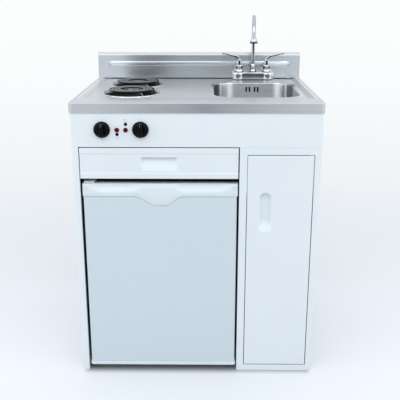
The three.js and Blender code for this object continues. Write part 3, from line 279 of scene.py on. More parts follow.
def make_steel(name, shade, stretch, gloss, streak, scratch, dulled=0.0):
    """Brushed stainless steel: hair-fine streaks along one direction, which spread reflections across
    themselves, and faint wiping marks. dulled is how much more matt use has left the level top, which is
    also a little darker; its recess is then picked out by a painted highlight along its rim and painted
    shade at its foot and on its right slope."""
    paint = finish(name, METAL)
    hair = paint.noise(1.0, 3.0, 0.6, stretch)
    broad = paint.noise(1.0, 2.0, 0.5, tuple(value * 0.1 for value in stretch))
    wiped = paint.noise(7.0, 4.0, 0.6)
    lines = hair * 0.6 + broad * 0.4
    tone = shade
    rough = gloss + 0.12 * streak * lines + 0.05 * wiped.ramp(0.35, 0.75)
    if dulled:
        across, back, height = paint.places()
        top = back.ramp(0.5, 3.5) * (1 - height.ramp(HEIGHT + 0.5, HEIGHT + 3))
        apron = 1 - back.ramp(0.0, 1.0)
        rough = rough + dulled * (top + 0.8 * apron).at_most(1.0)
        inset = (RECESS["side"] - abs(across)).at_most(back - RECESS["front"])
        rim = top * (1 - abs(inset).ramp(0.6, 2.2))
        foot = top * (1 - abs(inset - RECESS["slope"]).ramp(0.6, 2.6))
        slope = top * inset.ramp(0.0, 1.0) * (1 - inset.ramp(RECESS["slope"] - 1, RECESS["slope"]))
        tone = paint.patched(top, shade, 0.81)
        # painted shade on the right slope and at the recess's foot, and a painted highlight along its rim
        tone = paint.blend(slope * across.ramp(330.0, 345.0), tone, dimmer(shade, 0.55))
        tone = paint.blend(0.75 * foot, tone, dimmer(shade, 0.5))
        tone = paint.blend(rim, tone, dimmer(shade, 1.2))
    worn = 1.0 - 0.16 * streak * (1 - lines.ramp(0.3, 0.72))
    paint.cover(paint.blend(worn, colour(0.0, 0.0, 0.0), tone), rough, paint.bump(hair, scratch, 0.03))


def make_splash_steel(name, shade):
    """The backsplash: steel brushed along its length, rubbed soft, with painted shade for its reflections:
    darker over its middle, on its folded top and in a ring round each end of its bead."""
    paint = finish(name, METAL)
    hair = paint.noise(1.0, 3.0, 0.6, ALONG_X)
    across, back, height = paint.places()
    spread = across + 30 * paint.noise(1.0, 3.0, 0.5, (9.0, 1.0, 1.5))
    middle = spread.ramp(-290.0, -200.0) * (1 - spread.ramp(220.0, 310.0))
    deep = 1 - abs(spread + 160).ramp(0.0, 140.0)
    # painted shade for the reflections: over the middle, deepest left of it, on the folded top, round bead
    # ends
    tone = paint.patched(middle, shade, 0.74)
    tone = paint.blend(0.8 * deep, tone, dimmer(shade, 0.58))
    tone = paint.blend(height.ramp(973.5, 976.5), tone, dimmer(shade, 0.7))
    past, up = abs(across) - SPLASH["bead_end"], height - SPLASH["bead_z"]
    ring = 1 - abs((past * past + up * up) ** 0.5 - SPLASH["bead_radius"]).ramp(0.5, 3.0)
    ring = ring * past.ramp(-6.0, 2.0) * (1 - back.ramp(618.5, 621.5))
    tone = paint.blend(0.85 * ring, tone, dimmer(shade, 0.3))
    paint.cover(paint.streaked(hair, tone, 0.1), 0.24 + 0.08 * hair, paint.bump(hair, 0.5, 0.03))


def make_bowl_steel(name, shade):
    """The pressed bowl: satin steel whose drawn corners carry upright bands of painted highlight, with
    bands of painted dark reflection in a dull brown-grey past them. Its floor is a little darker than its
    walls, and its back lip has painted shade."""
    paint = finish(name, METAL)
    across, back, height = paint.places()
    hair = paint.noise(1.0, 3.0, 0.6, (900.0, 900.0, 30.0))

    def band(middle, width):
        """An upright band about a place along X that fades out over its half width."""
        return 1 - abs(across - middle).ramp(0.0, width)

    painted_highlight = band(114.0, 17.0) + band(285.0, 17.0) + 0.6 * (band(80.0, 6.0) + band(314.0, 6.0))
    painted_highlight = painted_highlight.at_most(1.0)
    dull = (band(60.0, 34.0) + band(338.0, 34.0)).at_most(1.0)
    wall = height.ramp(768.0, 790.0) * back.ramp(353.5, 423.5)
    lip = height.ramp(DECK - 3.5, DECK - 1.5) * back.ramp(433.5, 463.5)
    # painted highlight bands at the corners, painted dark reflection past them, painted shade on the back lip
    tone = paint.blend(wall, dimmer(shade, 0.85), dimmer(shade, 0.9))
    tone = paint.blend(wall * dull * (1 - painted_highlight), tone, colour(0.09, 0.083, 0.07))
    tone = paint.blend(lip, tone, dimmer(shade, 0.55))
    tone = paint.blend(wall * painted_highlight, tone, colour(0.9, 0.92, 0.93))
    # the metallic is lowered in the painted highlight bands so that they read pale
    paint.feed(paint.shader.inputs["Metallic"], 1.0 - 0.85 * wall * painted_highlight * (1 - lip))
    rough = 0.24 + 0.08 * hair + 0.15 * wall * painted_highlight
    paint.cover(paint.streaked(hair, tone, 0.08, 0.7), rough, paint.bump(hair, 0.1, 0.03))


def make_chrome(name, shade):
    """Polished chrome with faint water marks and finger smudges."""
    paint = finish(name, METAL)
    smudges = paint.noise(60.0, 4.0, 0.6)
    rough = 0.05 + 0.1 * smudges.ramp(0.5, 0.85) + 0.02 * paint.noise(400.0, 2.0)
    paint.cover(paint.patched(smudges.ramp(0.45, 0.8), shade, 0.93), rough)


def make_tap_chrome(name, shade):
    """Polished chrome with a painted dark reflection where it faces the unlit part of a room, as the
    attribute
    "unlit" says, painted shade a little in the recess of its base, and dark at its foot."""
    paint = finish(name, METAL)
    across, _, height = paint.places()
    foot = 1 - height.ramp(DECK + 2, DECK + 2.6)
    recess = height.ramp(892.8, 893.6) * (1 - height.ramp(905.5, 906.3))
    recess = recess * (1 - abs(across - TAP["x"]).ramp(40.5, 41.5))
    smudges = paint.noise(60.0, 4.0, 0.6)
    clean = paint.patched(smudges.ramp(0.45, 0.8), shade, 0.93)
    # painted dark reflection from the attribute, painted shade in the base's recess, and dark at the foot
    dark = (paint.attribute("unlit") + 0.12 * recess + foot).at_most(1.0)
    rough = 0.04 + 0.04 * paint.noise(300.0, 2.0) + 0.06 * smudges.ramp(0.5, 0.85)
    paint.cover(paint.blend(dark, clean, colour(0.035, 0.04, 0.045)), rough)


def make_pan_chrome(name, shade):
    """Polished chrome, blackened below the rim partly by heat and partly as painted shade under the coil, and
    with a painted dark reflection along its rear, as the attribute "unlit" says."""
    paint = finish(name, METAL)
    height = paint.places()[2]
    stain = paint.noise(45.0, 4.0, 0.6)
    # heat stain and painted shade below the rim, painted dark reflection along the rear
    low = (1 - (height + 2 * stain).ramp(DECK - 4, DECK + 0.5)).at_least(0.92 * paint.attribute("unlit"))
    paint.cover(paint.blend(low, shade, colour(0.022, 0.021, 0.02)), 0.06 + 0.5 * low * stain)


def make_coil_steel(name):
    """The burner's sheath: black oxide below, with the flat top worn to bare grey metal by pots, in heat
    patches."""
    paint = finish(name, {"Metallic": 0.8})
    heat = paint.noise(38.0, 3.0, 0.6)
    grain = paint.noise(1500.0, 2.0, 0.6)
    worn = (paint.places()[2] + 0.3 * heat).ramp(BURNER["plane"] + 2, BURNER["plane"] + 2.5)
    bare = paint.blend(heat.ramp(0.35, 0.7), colour(0.3, 0.3, 0.3), colour(0.2, 0.195, 0.19))
    oxide = paint.blend(grain.ramp(0.4, 0.75), colour(0.012, 0.012, 0.012), colour(0.05, 0.048, 0.046))
    paint.cover(paint.blend(worn, oxide, bare), 0.42 - 0.14 * worn + 0.1 * heat, paint.bump(grain, 0.2, 0.04))


def make_plastic(name, shade, gloss, grain, coat=0.0, shine=0.5, shaded=False):
    """Moulded plastic: a fine moulding grain and an even gloss with faint cloudiness. Where it is shaded,
    it is painted greyer toward the top of the door's finger scoops, as shade from the drawer above."""
    paint = finish(name, glossy(coat, 0.1, shine))
    cloud = paint.noise(12.0, 3.0)
    tone = paint.patched(cloud.ramp(0.3, 0.8), shade, 0.96)
    if shaded:
        # painted shade from the drawer above, greyer toward the scoops' top
        tone = paint.blend(paint.places()[2].ramp(618.0, 638.0), tone, dimmer(shade, 0.86))
    paint.cover(tone, gloss + 0.1 * cloud, paint.bump(paint.noise(1200.0, 2.0), grain, 0.05))


def make_lamp_lens(name, shade):
    """A moulded lamp lens: a deep clear colour with small prisms under a glossy skin."""
    paint = finish(name, glossy(0.1, 0.05, 0.1))
    prisms = paint.cells(900.0)
    tone = paint.patched(prisms.ramp(0.1, 0.7), shade, 0.45)
    paint.cover(tone, 0.12 + 0.15 * prisms, paint.bump(prisms, 0.25, 0.3))


def make_zinc(name, shade):
    """Zinc-plated steel: faint crystal spangles and dull patches."""
    paint = finish(name, {"Metallic": 0.85})
    spangle = paint.node("ShaderNodeSeparateColor", None, {"Color": paint.cells(160.0, "Color")}, "Red")
    rough = 0.34 + 0.16 * spangle + 0.1 * paint.noise(20.0, 3.0)
    paint.cover(paint.blend(spangle, dimmer(shade, 0.86), shade), rough)


def make_black_steel(name):
    """Stove-black paint with dust in its hollows and a dull sheen."""
    paint = finish(name, {"Specular IOR Level": 0.4})
    dust = paint.noise(26.0, 5.0, 0.65)
    tone = paint.blend(dust.ramp(0.5, 0.85), colour(0.018, 0.019, 0.021), colour(0.09, 0.088, 0.085))
    paint.cover(tone, 0.42 + 0.3 * dust, paint.bump(paint.noise(700.0, 2.0), 0.15, 0.1))


def make_ceramic(name):
    """Glazed ceramic with fine specks."""
    paint = finish(name, {"Coat Weight": 0.4, "Coat Roughness": 0.1})
    specks = paint.noise(900.0, 2.0, 0.7)
    tone = paint.blend(specks.ramp(0.62, 0.72), colour(0.78, 0.74, 0.66), colour(0.42, 0.36, 0.3))
    paint.cover(tone, 0.3 + 0.2 * paint.noise(40.0, 3.0), paint.bump(specks, 0.1, 0.1))


def make_rubber(name, shade):
    """A soft extruded seal with some dirt on its matt skin."""
    paint = finish(name, {"Specular IOR Level": 0.3})
    dirt = paint.noise(30.0, 4.0, 0.6)
    tone = paint.patched(dirt.ramp(0.45, 0.85), shade, 0.8)
    paint.cover(tone, 0.6 + 0.2 * dirt, paint.bump(paint.noise(500.0, 2.0), 0.2, 0.1))


def make_glass(name, shade):
    """Clear shelf glass with a faint green and a few dull wipes."""
    paint = finish(name, {"Transmission Weight": 0.9, "IOR": 1.45})
    wipes = paint.noise(9.0, 4.0, 0.6)
    paint.cover(paint.patched(wipes.ramp(0.4, 0.8), shade, 0.95), 0.02 + 0.08 * wipes.ramp(0.5, 0.85))


def make_print(name, shade):
    """A printed mark: thin matt ink that is worn paler in spots."""
    paint = finish(name, {"Specular IOR Level": 0.08})
    worn = colour(*(1.3 * channel + 0.004 for channel in shade[:3]))
    paint.cover(paint.blend(paint.noise(700.0, 3.0).ramp(0.55, 0.8), shade, worn), 0.7)


def make_finishes(looks):
    white, steel, chrome = colour(*looks.enamel), colour(*looks.steel), colour(*looks.chrome)
    make_enamel("white_enamel", white, 0.06, 0.26)
    # its last colour is painted shade on the folded-back returns that show in the gaps
    make_enamel("panel_enamel", white, 0.06, 0.26, colour(0.13, 0.135, 0.14))
    make_enamel("inner_paint", dimmer(white, 0.97), 0.1, 0.38)
    # near black: the cabinet's colour, which also stands in for the shade in the gaps round its door
    make_plastic("foam_cabinet", colour(0.02, 0.021, 0.023), 0.45, 0.2)
    make_pebbled_enamel("door_enamel", colour(*looks.door))
    make_steel("stainless", steel, ALONG_X, 0.15, 0.5, 0.5, 0.14)
    make_splash_steel("splash_steel", colour(*(min(1.0, 1.22 * value) for value in looks.steel)))
    make_bowl_steel("bowl_steel", colour(*looks.bowl))
    make_steel("support_steel", colour(0.55, 0.56, 0.57), ALL_ROUND, 0.25, 0.3, 0.1)
    make_steel("turned_steel", steel, ALL_ROUND, 0.2, 0.3, 0.1)
    make_chrome("chrome", chrome)
    make_tap_chrome("tap_chrome", chrome)
    make_pan_chrome("pan_chrome", dimmer(chrome, 0.9))
    make_coil_steel("coil_steel")
    make_plastic("black_plastic", colour(0.003, 0.003, 0.004), 0.12, 0.03, 0.0, 0.1)
    make_black_steel("black_steel")
    make_lamp_lens("lamp_red", colour(*looks.lamp))
    make_ceramic("ceramic")
    make_plastic("trim_plastic", colour(*looks.trim), 0.24, 0.06, 0.2, shaded=True)
    make_plastic("liner_plastic", colour(0.86, 0.88, 0.89), 0.2, 0.05, 0.3)
    make_rubber("gasket_rubber", colour(0.62, 0.64, 0.65))
    make_glass("shelf_glass", colour(0.86, 0.95, 0.92))
    make_zinc("zinc", colour(0.6, 0.61, 0.6))
    make_print("ink_black", colour(0.004, 0.004, 0.005))
    make_print("ink_grey", colour(0.3, 0.33, 0.36))
    make_print("mark_grey", colour(0.2, 0.21, 0.22))
    make_plastic("slot_dark", colour(0.006, 0.006, 0.007), 0.7, 0.0)


# ---------------------------------------------------------------- shapes from arrays
def place(points):
    """Millimetres from the apron's front face to the frame's metres."""
    points = np.asarray(points, float).reshape(-1, 3)
    return (points + [0.0, APRON_Y, 0.0]) / 1000.0


def softened(corners, steps, loop=False):
    """A line through corners (x, y, radius). Each corner is the quadratic curve that leaves it a radius
    before it and comes back a radius after it: (1-t)^2 start + 2t(1-t) corner + t^2 end."""
    corners = np.array([(*corner, 0.0)[:3] for corner in corners], float)
    here, radius = corners[:, :2], corners[:, 2:3].copy()
    if not loop:
        radius[[0, -1]] = 0.0
    toward = [np.roll(here, shift, 0) - here for shift in (1, -1)]
    unit = [way / np.maximum(np.linalg.norm(way, axis=1, keepdims=True), 1e-9) for way in toward]
    start, end = here + unit[0] * radius, here + unit[1] * radius
    t = np.linspace(0, 1, steps + 1)[None, :, None]
    curve = (1 - t) ** 2 * start[:, None] + 2 * t * (1 - t) * here[:, None] + t ** 2 * end[:, None]
    return curve.reshape(-1, 2)


def grid_faces(rows, columns, loop_rows=False, loop_columns=True):
    """The quads that join each row of a grid to the next one, with either direction closed on itself."""
    i = np.arange(rows if loop_rows else rows - 1)[:, None]
    j = np.arange(columns if loop_columns else columns - 1)[None, :]
    i2, j2 = (i + 1) % rows, (j + 1) % columns
    return np.stack([i * columns + j, i * columns + j2, i2 * columns + j2, i2 * columns + j], -1)


def mesh_of(name, parts):
    """One mesh of several (points, quads) parts, with its doubled points merged and its faces turned
    outwards."""
    points, faces, start = [], [], 0
    for part_points, part_faces in parts:
        part_points = np.asarray(part_points, float).reshape(-1, 3)
        points.append(part_points)
        faces.append(np.asarray(part_faces).reshape(-1, 4) + start)
        start += len(part_points)
    mesh = bpy.data.meshes.new(name)
    mesh.from_pydata(place(np.concatenate(points)).tolist(), [], np.concatenate(faces).tolist())
    work = bmesh.new()
    work.from_mesh(mesh)
    bmesh.ops.remove_doubles(work, verts=work.verts, dist=2e-6)
    bmesh.ops.dissolve_degenerate(work, edges=work.edges, dist=1e-7)
    bmesh.ops.recalc_face_normals(work, faces=work.faces)
    work.to_mesh(mesh)
    work.free()
    return mesh


def read(items, key, width=1, kind=float):
    """What each item of a mesh holds under a key, as an array with that many columns."""
    values = np.zeros(len(items) * width, kind)
    items.foreach_get(key, values)
    return values.reshape(-1, width) if width > 1 else values


def places_of(mesh):
    """A mesh's points in the code's own millimetres."""
    return read(mesh.vertices, "co", 3) * 1000 - [0.0, APRON_Y, 0.0]


def write_share(mesh, name, share):
    """Gives each point of a mesh a share from 0 to 1, as an attribute that a finish reads."""
    mesh.attributes.new(name, "FLOAT", "POINT").data.foreach_set("value", np.clip(share, 0, 1))


def smooth(value, low, high):
    """0 below low and 1 above high, with 3t^2 - 2t^3 between them."""
    t = np.clip((np.asarray(value, float) - low) / (high - low), 0, 1)
    return t * t * (3 - 2 * t)


def tube_part(grid, loop_rows=False, close_ends=True):
    """A part from a grid (rows, columns, xyz) whose columns close on themselves. Its ends close on their
    middles."""
    grid = np.asarray(grid, float)
    if close_ends and not loop_rows:
        ends = [np.broadcast_to(row.mean(0), row.shape)[None] for row in (grid[0], grid[-1])]
        grid = np.concatenate([ends[0], grid, ends[1]])
    return grid, grid_faces(grid.shape[0], grid.shape[1], loop_rows)


def turned(profile, centre=(0.0, 0.0, 0.0), steps=64, lobes=None, loop=False):
    """A body of revolution about +Z: each profile point (radius, height) goes round a circle. With lobes,
    the radius is lessened by depth(height) * (1 - cos(count * angle)) / 2."""
    profile = np.asarray(profile, float)
    angle = np.arange(steps) * 2 * math.pi / steps
    radius, height = profile[:, :1] * np.ones_like(angle), profile[:, 1:2] * np.ones_like(angle)
    if lobes:
        count, depth = lobes
        radius = radius - depth(profile[:, 1:2]) * (1 - np.cos(count * angle)) / 2
    grid = np.stack([radius * np.cos(angle), radius * np.sin(angle), height], -1)
    return tube_part(grid + np.asarray(centre, float), loop_rows=loop, close_ends=not loop)


def swept(path, section, up, widths=None):
    """A section (side, over) carried along a path of points. Each ring stands across the path, with its side
    at right angles to the path and to up. widths scales the section at each point."""
    path, section = np.asarray(path, float), np.asarray(section, float)
    along = np.gradient(path, axis=0)
    along /= np.linalg.norm(along, axis=1, keepdims=True)
    side = np.cross(along, np.asarray(up, float))
    side /= np.linalg.norm(side, axis=1, keepdims=True)
    over = np.cross(side, along)
    scale = np.ones((len(path), 2)) if widths is None else np.asarray(widths, float)
    grid = (path[:, None] + side[:, None] * (section[:, 0] * scale[:, :1])[..., None]
            + over[:, None] * (section[:, 1] * scale[:, 1:])[..., None])
    return tube_part(grid)


def circle(radius, steps):
    angle = np.arange(steps) * 2 * math.pi / steps
    return radius * np.stack([np.cos(angle), np.sin(angle)], -1)


def smooth_path(points, steps):
    """A curve through points: between two of them the cubic that leaves and arrives along the line between
    each one's neighbours, sampled at equal steps."""
    points = np.asarray(points, float)
    padded = np.concatenate([2 * points[:1] - points[1:2], points, 2 * points[-1:] - points[-2:-1]])
    t = np.linspace(0, len(points) - 1, steps + 1)
    i = np.minimum(t.astype(int), len(points) - 2)
    u = (t - i)[:, None]
    before, here, after, beyond = (padded[i + k] for k in range(4))
    return 0.5 * (2 * here + (after - before) * u + (2 * before - 5 * here + 4 * after - beyond) * u ** 2
                  + (3 * here - before - 3 * after + beyond) * u ** 3)


def rectangle_ring(half_x, half_y, radius, z, steps, back_x=()):
    """Level rings of a rounded rectangle about the origin, one for each entry of the given arrays. A corner
    is a quarter circle; back_x are places along the back straight side that get a point of their own, drawn
    in where that side is shorter."""
    columns = [np.asarray(values, float)[:, None] for values in (half_x, half_y, radius, z)]
    half_x, half_y, radius, z = np.broadcast_arrays(*columns)
    runs = []
    for corner, (sx, sy) in enumerate(((1, 1), (-1, 1), (-1, -1), (1, -1))):
        angle = (corner + np.linspace(0, 1, steps + 1)) * math.pi / 2
        runs.append(np.stack([sx * (half_x - radius) + radius * np.cos(angle),
                              sy * (half_y - radius) + radius * np.sin(angle)], -1))
        if corner == 0 and len(back_x):
            along = np.asarray(sorted(back_x, reverse=True), float)[None, :]
            along = along * np.minimum(1.0, (half_x - radius) / np.abs(along).max())
            runs.append(np.stack([along * np.ones_like(half_x), half_y * np.ones_like(along)], -1))
    flat = np.concatenate(runs, 1)
    height = np.broadcast_to(z[:, :, None], (*flat.shape[:2], 1))
    return np.concatenate([flat, height], -1)


# ---------------------------------------------------------------- pieces
def show(mesh, material, node, sharp=35.0, thickness=None, bevel=None, stands=True):
    """Links a finished mesh as the piece of its name: its finish, its smooth shading, its wall or soft
    edges, and the body of its CAD node. It hides that node and takes its place, or else is a detail on it,
    which may have a finish of its own."""
    mesh.materials.append(FINISHES[material])
    mesh.shade_smooth()
    mesh.set_sharp_from_angle(angle=math.radians(sharp))
    if thickness:
        sharpen_rims(mesh)
    piece = bpy.data.objects.new(mesh.name, mesh)
    bpy.context.scene.collection.objects.link(piece)
    if thickness:
        wall = piece.modifiers.new("wall", "SOLIDIFY")
        wall.thickness = thickness / 1000
        wall.offset = -1
    if bevel:
        edge = piece.modifiers.new("soft_edges", "BEVEL")
        edge.width = bevel / 1000
        edge.segments = 2
        edge.limit_method = "ANGLE"
        edge.angle_limit = math.radians(40)
        edge.harden_normals = True
    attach(piece, BODY_OF[node])
    if stands:
        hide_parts(node)


def sharpen_rims(mesh):
    """Marks the open edges of a sheet as sharp, so that the edges of its wall stay crisp."""
    uses = np.bincount(read(mesh.loops, "edge_index", kind=np.int32), minlength=len(mesh.edges))
    edges = mesh.attributes.get("sharp_edge") or mesh.attributes.new("sharp_edge", "BOOLEAN", "EDGE")
    edges.data.foreach_set("value", read(edges.data, "value", kind=bool) | (uses == 1))


def merged_copy(node, flatten):
    """A CAD node's triangles with their shared corners merged, and the triangles of one plane made one
    face."""
    source = frame["nodes"][node].data
    source.calc_loop_triangles()
    corners = read(source.loop_triangles, "vertices", 3, np.int32)
    points = np.round(read(source.vertices, "co", 3), 7)
    unique, index = np.unique(points, axis=0, return_inverse=True)
    faces = index.reshape(-1)[corners]
    whole = (faces[:, 0] != faces[:, 1]) & (faces[:, 1] != faces[:, 2]) & (faces[:, 0] != faces[:, 2])
    mesh = bpy.data.meshes.new(f"{node}_skin")
    mesh.from_pydata(unique.tolist(), [], faces[whole].tolist())
    if flatten:
        work = bmesh.new()
        work.from_mesh(mesh)
        bmesh.ops.dissolve_limit(work, angle_limit=math.radians(0.4), verts=work.verts, edges=work.edges)
        work.to_mesh(mesh)
        work.free()
    return mesh


def dress(node, material=None, bevel=0.35, sharp=35.0):
    """A CAD node with its own shape: a merged copy with softened edges and its finish, which stands for the
    node."""
    show(merged_copy(node, flatten=bool(bevel)), material or SLOT_OF[node], node, sharp, bevel=bevel)


def dress_all(bevel, *nodes):
    for node in nodes:
        dress(node, bevel=bevel)


def coil_route():
    """The element's centre line about its own middle: in from its terminal under the turns, up at the
    middle, out along a spiral whose radius grows evenly with its angle, and down to the second terminal."""
    start, end = math.radians(COIL["start"]), math.radians(COIL["end"])
    sweep = 2 * math.pi * COIL["turns"] + (start - end)
    t = np.linspace(0, 1, 300)
    angle = start - sweep * t
    radius = COIL["inner"] + (COIL["outer"] - COIL["inner"]) * t
    spiral = np.stack([radius * np.cos(angle), radius * np.sin(angle), 0 * t], -1)
    way_in = [[118, -7, -21], [100, -7, -21], [84, -7, -21], [74, -7, -17], [62, -7, -12.6], [48, -7.5, -12],
              [39, -9.5, -10.5], [33.5, -14, -6.5], [30, -19, -2.6], spiral[0]]
    way_out = [spiral[-1], [71, 22, -3], [73, 14.5, -9], [75.5, 9.5, -15.2], [80, 7.3, -19.7], [87, 7, -21],
               [100, 7, -21], [118, 7, -21]]
    return np.concatenate([smooth_path(way_in, 60)[:-1], spiral, smooth_path(way_out, 50)[1:]])


def make_burners():
    """Coil elements with a flattened top, their supports, chromed drip pans and terminal blocks."""
    route = coil_route()
    section = circle(COIL["tube"], 16)
    section[:, 1] = np.minimum(section[:, 1], COIL["flat"])
    deck = DECK + 0.3 - BURNER["plane"]
    pan_line = softened([(93.5, deck), (92.4, deck + 2.6, 1.0), (89.0, deck + 3.2, 2.0),
                         (85.6, deck + 1.2, 1.6), (81.6, deck - 11, 4.0), (73, deck - 19.6, 8.0),
                         (24, deck - 24.6, 3.0), (22.6, deck - 26)], 6)
    for name in ("front", "rear"):
        centre = np.array([BURNER["x"], BURNER[name], BURNER["plane"]])
        coil = mesh_of(f"coil_{name}", [swept(route + centre, section, UP)])
        show(coil, "coil_steel", f"coil_element_{name}", 60)
        dress(f"element_support_{name}", "support_steel", 0.2)
        grid = turned(pan_line, centre, 96)[0][1:-1]
        faces = grid_faces(*grid.shape[:2])
        x, y, z = (grid.reshape(-1, 3)[faces].mean(2) - centre).transpose(2, 0, 1)
        opening = (x > PAN_GATE["x"]) & (np.abs(y) < PAN_GATE["half_y"])
        opening &= np.abs(z - PAN_GATE["z"]) < PAN_GATE["half_z"]
        pan = mesh_of(f"pan_{name}", [(grid, faces[~opening])])
        turn_toward(pan, UP)
        # painted dark reflection toward the pan's rear
        write_share(pan, "unlit", smooth(places_of(pan)[:, 1], centre[1] + 5, centre[1] + 45))
        show(pan, "pan_chrome", f"drip_pan_{name}", 50, thickness=0.8)
        dress(f"terminal_block_{name}", bevel=0.6)


def turn_toward(mesh, way):
    """Turns an open sheet's faces so that most of it looks the given way."""
    normals, areas = read(mesh.polygons, "normal", 3), read(mesh.polygons, "area")
    if (normals @ way * areas).sum() < 0:
        mesh.flip_normals()


def make_sink():
    """The pressed bowl: rings of a rounded rectangle that follow its section from the rim to the drain, with
    the four overflow slots left open in its back wall."""
    floor = HEIGHT - BOWL["depth"]
    slot_top, slot_low = HEIGHT - OVERFLOW["top"], HEIGHT - OVERFLOW["low"]
    roll = np.linspace(0, math.pi / 2, 9)
    foot = np.linspace(0, math.pi / 2, 12)
    wall_inset, foot_radius, drain_inset = 12.5, 26.0, 110.0
    floor_inset = wall_inset + foot_radius
    rim = [(-1, DECK + 0.1), (1, DECK + 0.1)]
    lip = np.stack([6 + 4 * np.sin(roll), DECK - 4 * (1 - np.cos(roll))], -1)
    wall = [(10.17, slot_top), (10.2, slot_top), (10.6, slot_low), (10.63, slot_low), (11.6, 810)]
    turn = [wall_inset, floor] + foot_radius * np.stack([1 - np.cos(foot), 1 - np.sin(foot)], -1)
    bottom = [(55, floor - 1.0), (70, floor - 2), (90, floor - 3), (drain_inset, floor - 4)]
    inset, height = np.concatenate([rim, lip, wall, turn, bottom]).T
    share = np.clip((inset - floor_inset) / (drain_inset - floor_inset), 0, 1)
    level = np.minimum(inset, floor_inset)
    corner = BOWL["corner"] + BOWL["rim"] - level * 0.8
    corner[:2] = BOWL["corner"]
    slots = np.array(OVERFLOW["slots"]) + OVERFLOW["x"]
    edges = np.concatenate([slots - OVERFLOW["half"], slots + OVERFLOW["half"]])

    def toward_drain(value):
        return value + (BOWL["drain"] - value) * share

    half_x, half_y = (toward_drain(BOWL[key] + BOWL["rim"] - level) for key in ("half_x", "half_y"))
    rings = rectangle_ring(half_x, half_y, toward_drain(corner), height, 14, edges)
    faces = grid_faces(*rings.shape[:2])
    x, y, z = rings.reshape(-1, 3)[faces].mean(2).transpose(2, 0, 1)
    opened = np.abs(x[..., None] - slots).min(-1) < OVERFLOW["half"] - 0.1
    opened &= (y > BOWL["half_y"] - 25) & (z < slot_top) & (z > slot_low)
    bowl = mesh_of("bowl", [(rings + [BOWL["x"], BOWL["y"], 0], faces[~opened])])
    turn_toward(bowl, UP)
    show(bowl, "bowl_steel", "sink_bowl", 60, thickness=1.2)
    make_overflow()


def make_overflow():
    """The pocket welded on behind the bowl's slots, with its outlet, and a black sheet just behind the
    slots that stands in for the shade inside the pocket.
    """
    x, y = BOWL["x"] + OVERFLOW["x"], BOWL["y"] + BOWL["half_y"]

    def behind_wall(ring, offset, drop):
        return np.stack([ring[..., 0] + x, y + offset + ring[..., 2], ring[..., 1] + HEIGHT - drop], -1)

    side = [32, 32, 30, 20, 0.1]
    pocket = behind_wall(rectangle_ring(side, side, [4, 4, 4, 4, 0.1], [1.6, 11.0, 13.4, 14, 14], 5), 0.0, 45)
    pocket = np.concatenate([pocket, np.broadcast_to(pocket[-1].mean(0), pocket[-1:].shape)])
    outlet = turned([(7, -85), (7, -50)], (x, y + 7, HEIGHT), 24)
    pocket = mesh_of("overflow_pocket", [(pocket, grid_faces(*pocket.shape[:2])), outlet])
    show(pocket, "turned_steel", "sink_bowl", 40, thickness=1.0, stands=False)
    # a black sheet behind the slots: painted shade for the inside of the pocket
    dark = tube_part(behind_wall(rectangle_ring([29, 29], [12, 12], [2, 2], [0, 1.0], 3), 3, 26.5))
    show(mesh_of("overflow_shade_sheet", [dark]), "slot_dark", "sink_bowl", 40, stands=False)


def make_drain():
    """The drain's flange and cup, its basket, nut and tail pipe."""
    dress("drain_body", "turned_steel", 0, 40)
    dress("drain_locknut", "zinc", 0.3)
    dress("drain_tailpiece", "chrome", 0, 40)
    dress("strainer_basket", "turned_steel", 0, 40)


def unlit(mesh, front, under, flanks=0.0, where=None, elsewhere=0.0):
    """Writes the share of unlit room that each point shows, which the tap's chrome paints as a dark
    reflection: front where the surface looks at the front within about 30 degrees and isn't turned up,
    flanks where it looks 25 to 60 degrees off to a side, under where it looks down, and all of it where it
    looks at the backsplash. Points that where leaves out have the share elsewhere."""
    across, back, high = read(mesh.vertex_normals, "vector", 3).T
    side = np.abs(across)
    level = 1 - smooth(high, 0.25, 0.5)
    share = front * smooth(-back, 0.78, 0.92) * level + under * smooth(-high, 0.2, 0.55)
    share = share + flanks * level * smooth(side, 0.38, 0.5) * (1 - smooth(side, 0.8, 0.9))
    share = np.maximum(share, level * smooth(back, 0.3, 0.6))
    if where is not None:
        share = np.where(where(places_of(mesh)), share, elsewhere)
    write_share(mesh, "unlit", share)
    return mesh


def make_tap():
    """The tap: a cast base, fluted bonnets with blade levers, the nut, the gooseneck and its outlet."""
    make_tap_base()
    for name, way in (("left", -1), ("right", 1)):
        make_valve(name, TAP["x"] + way * TAP["spread"], way)
    make_spout()


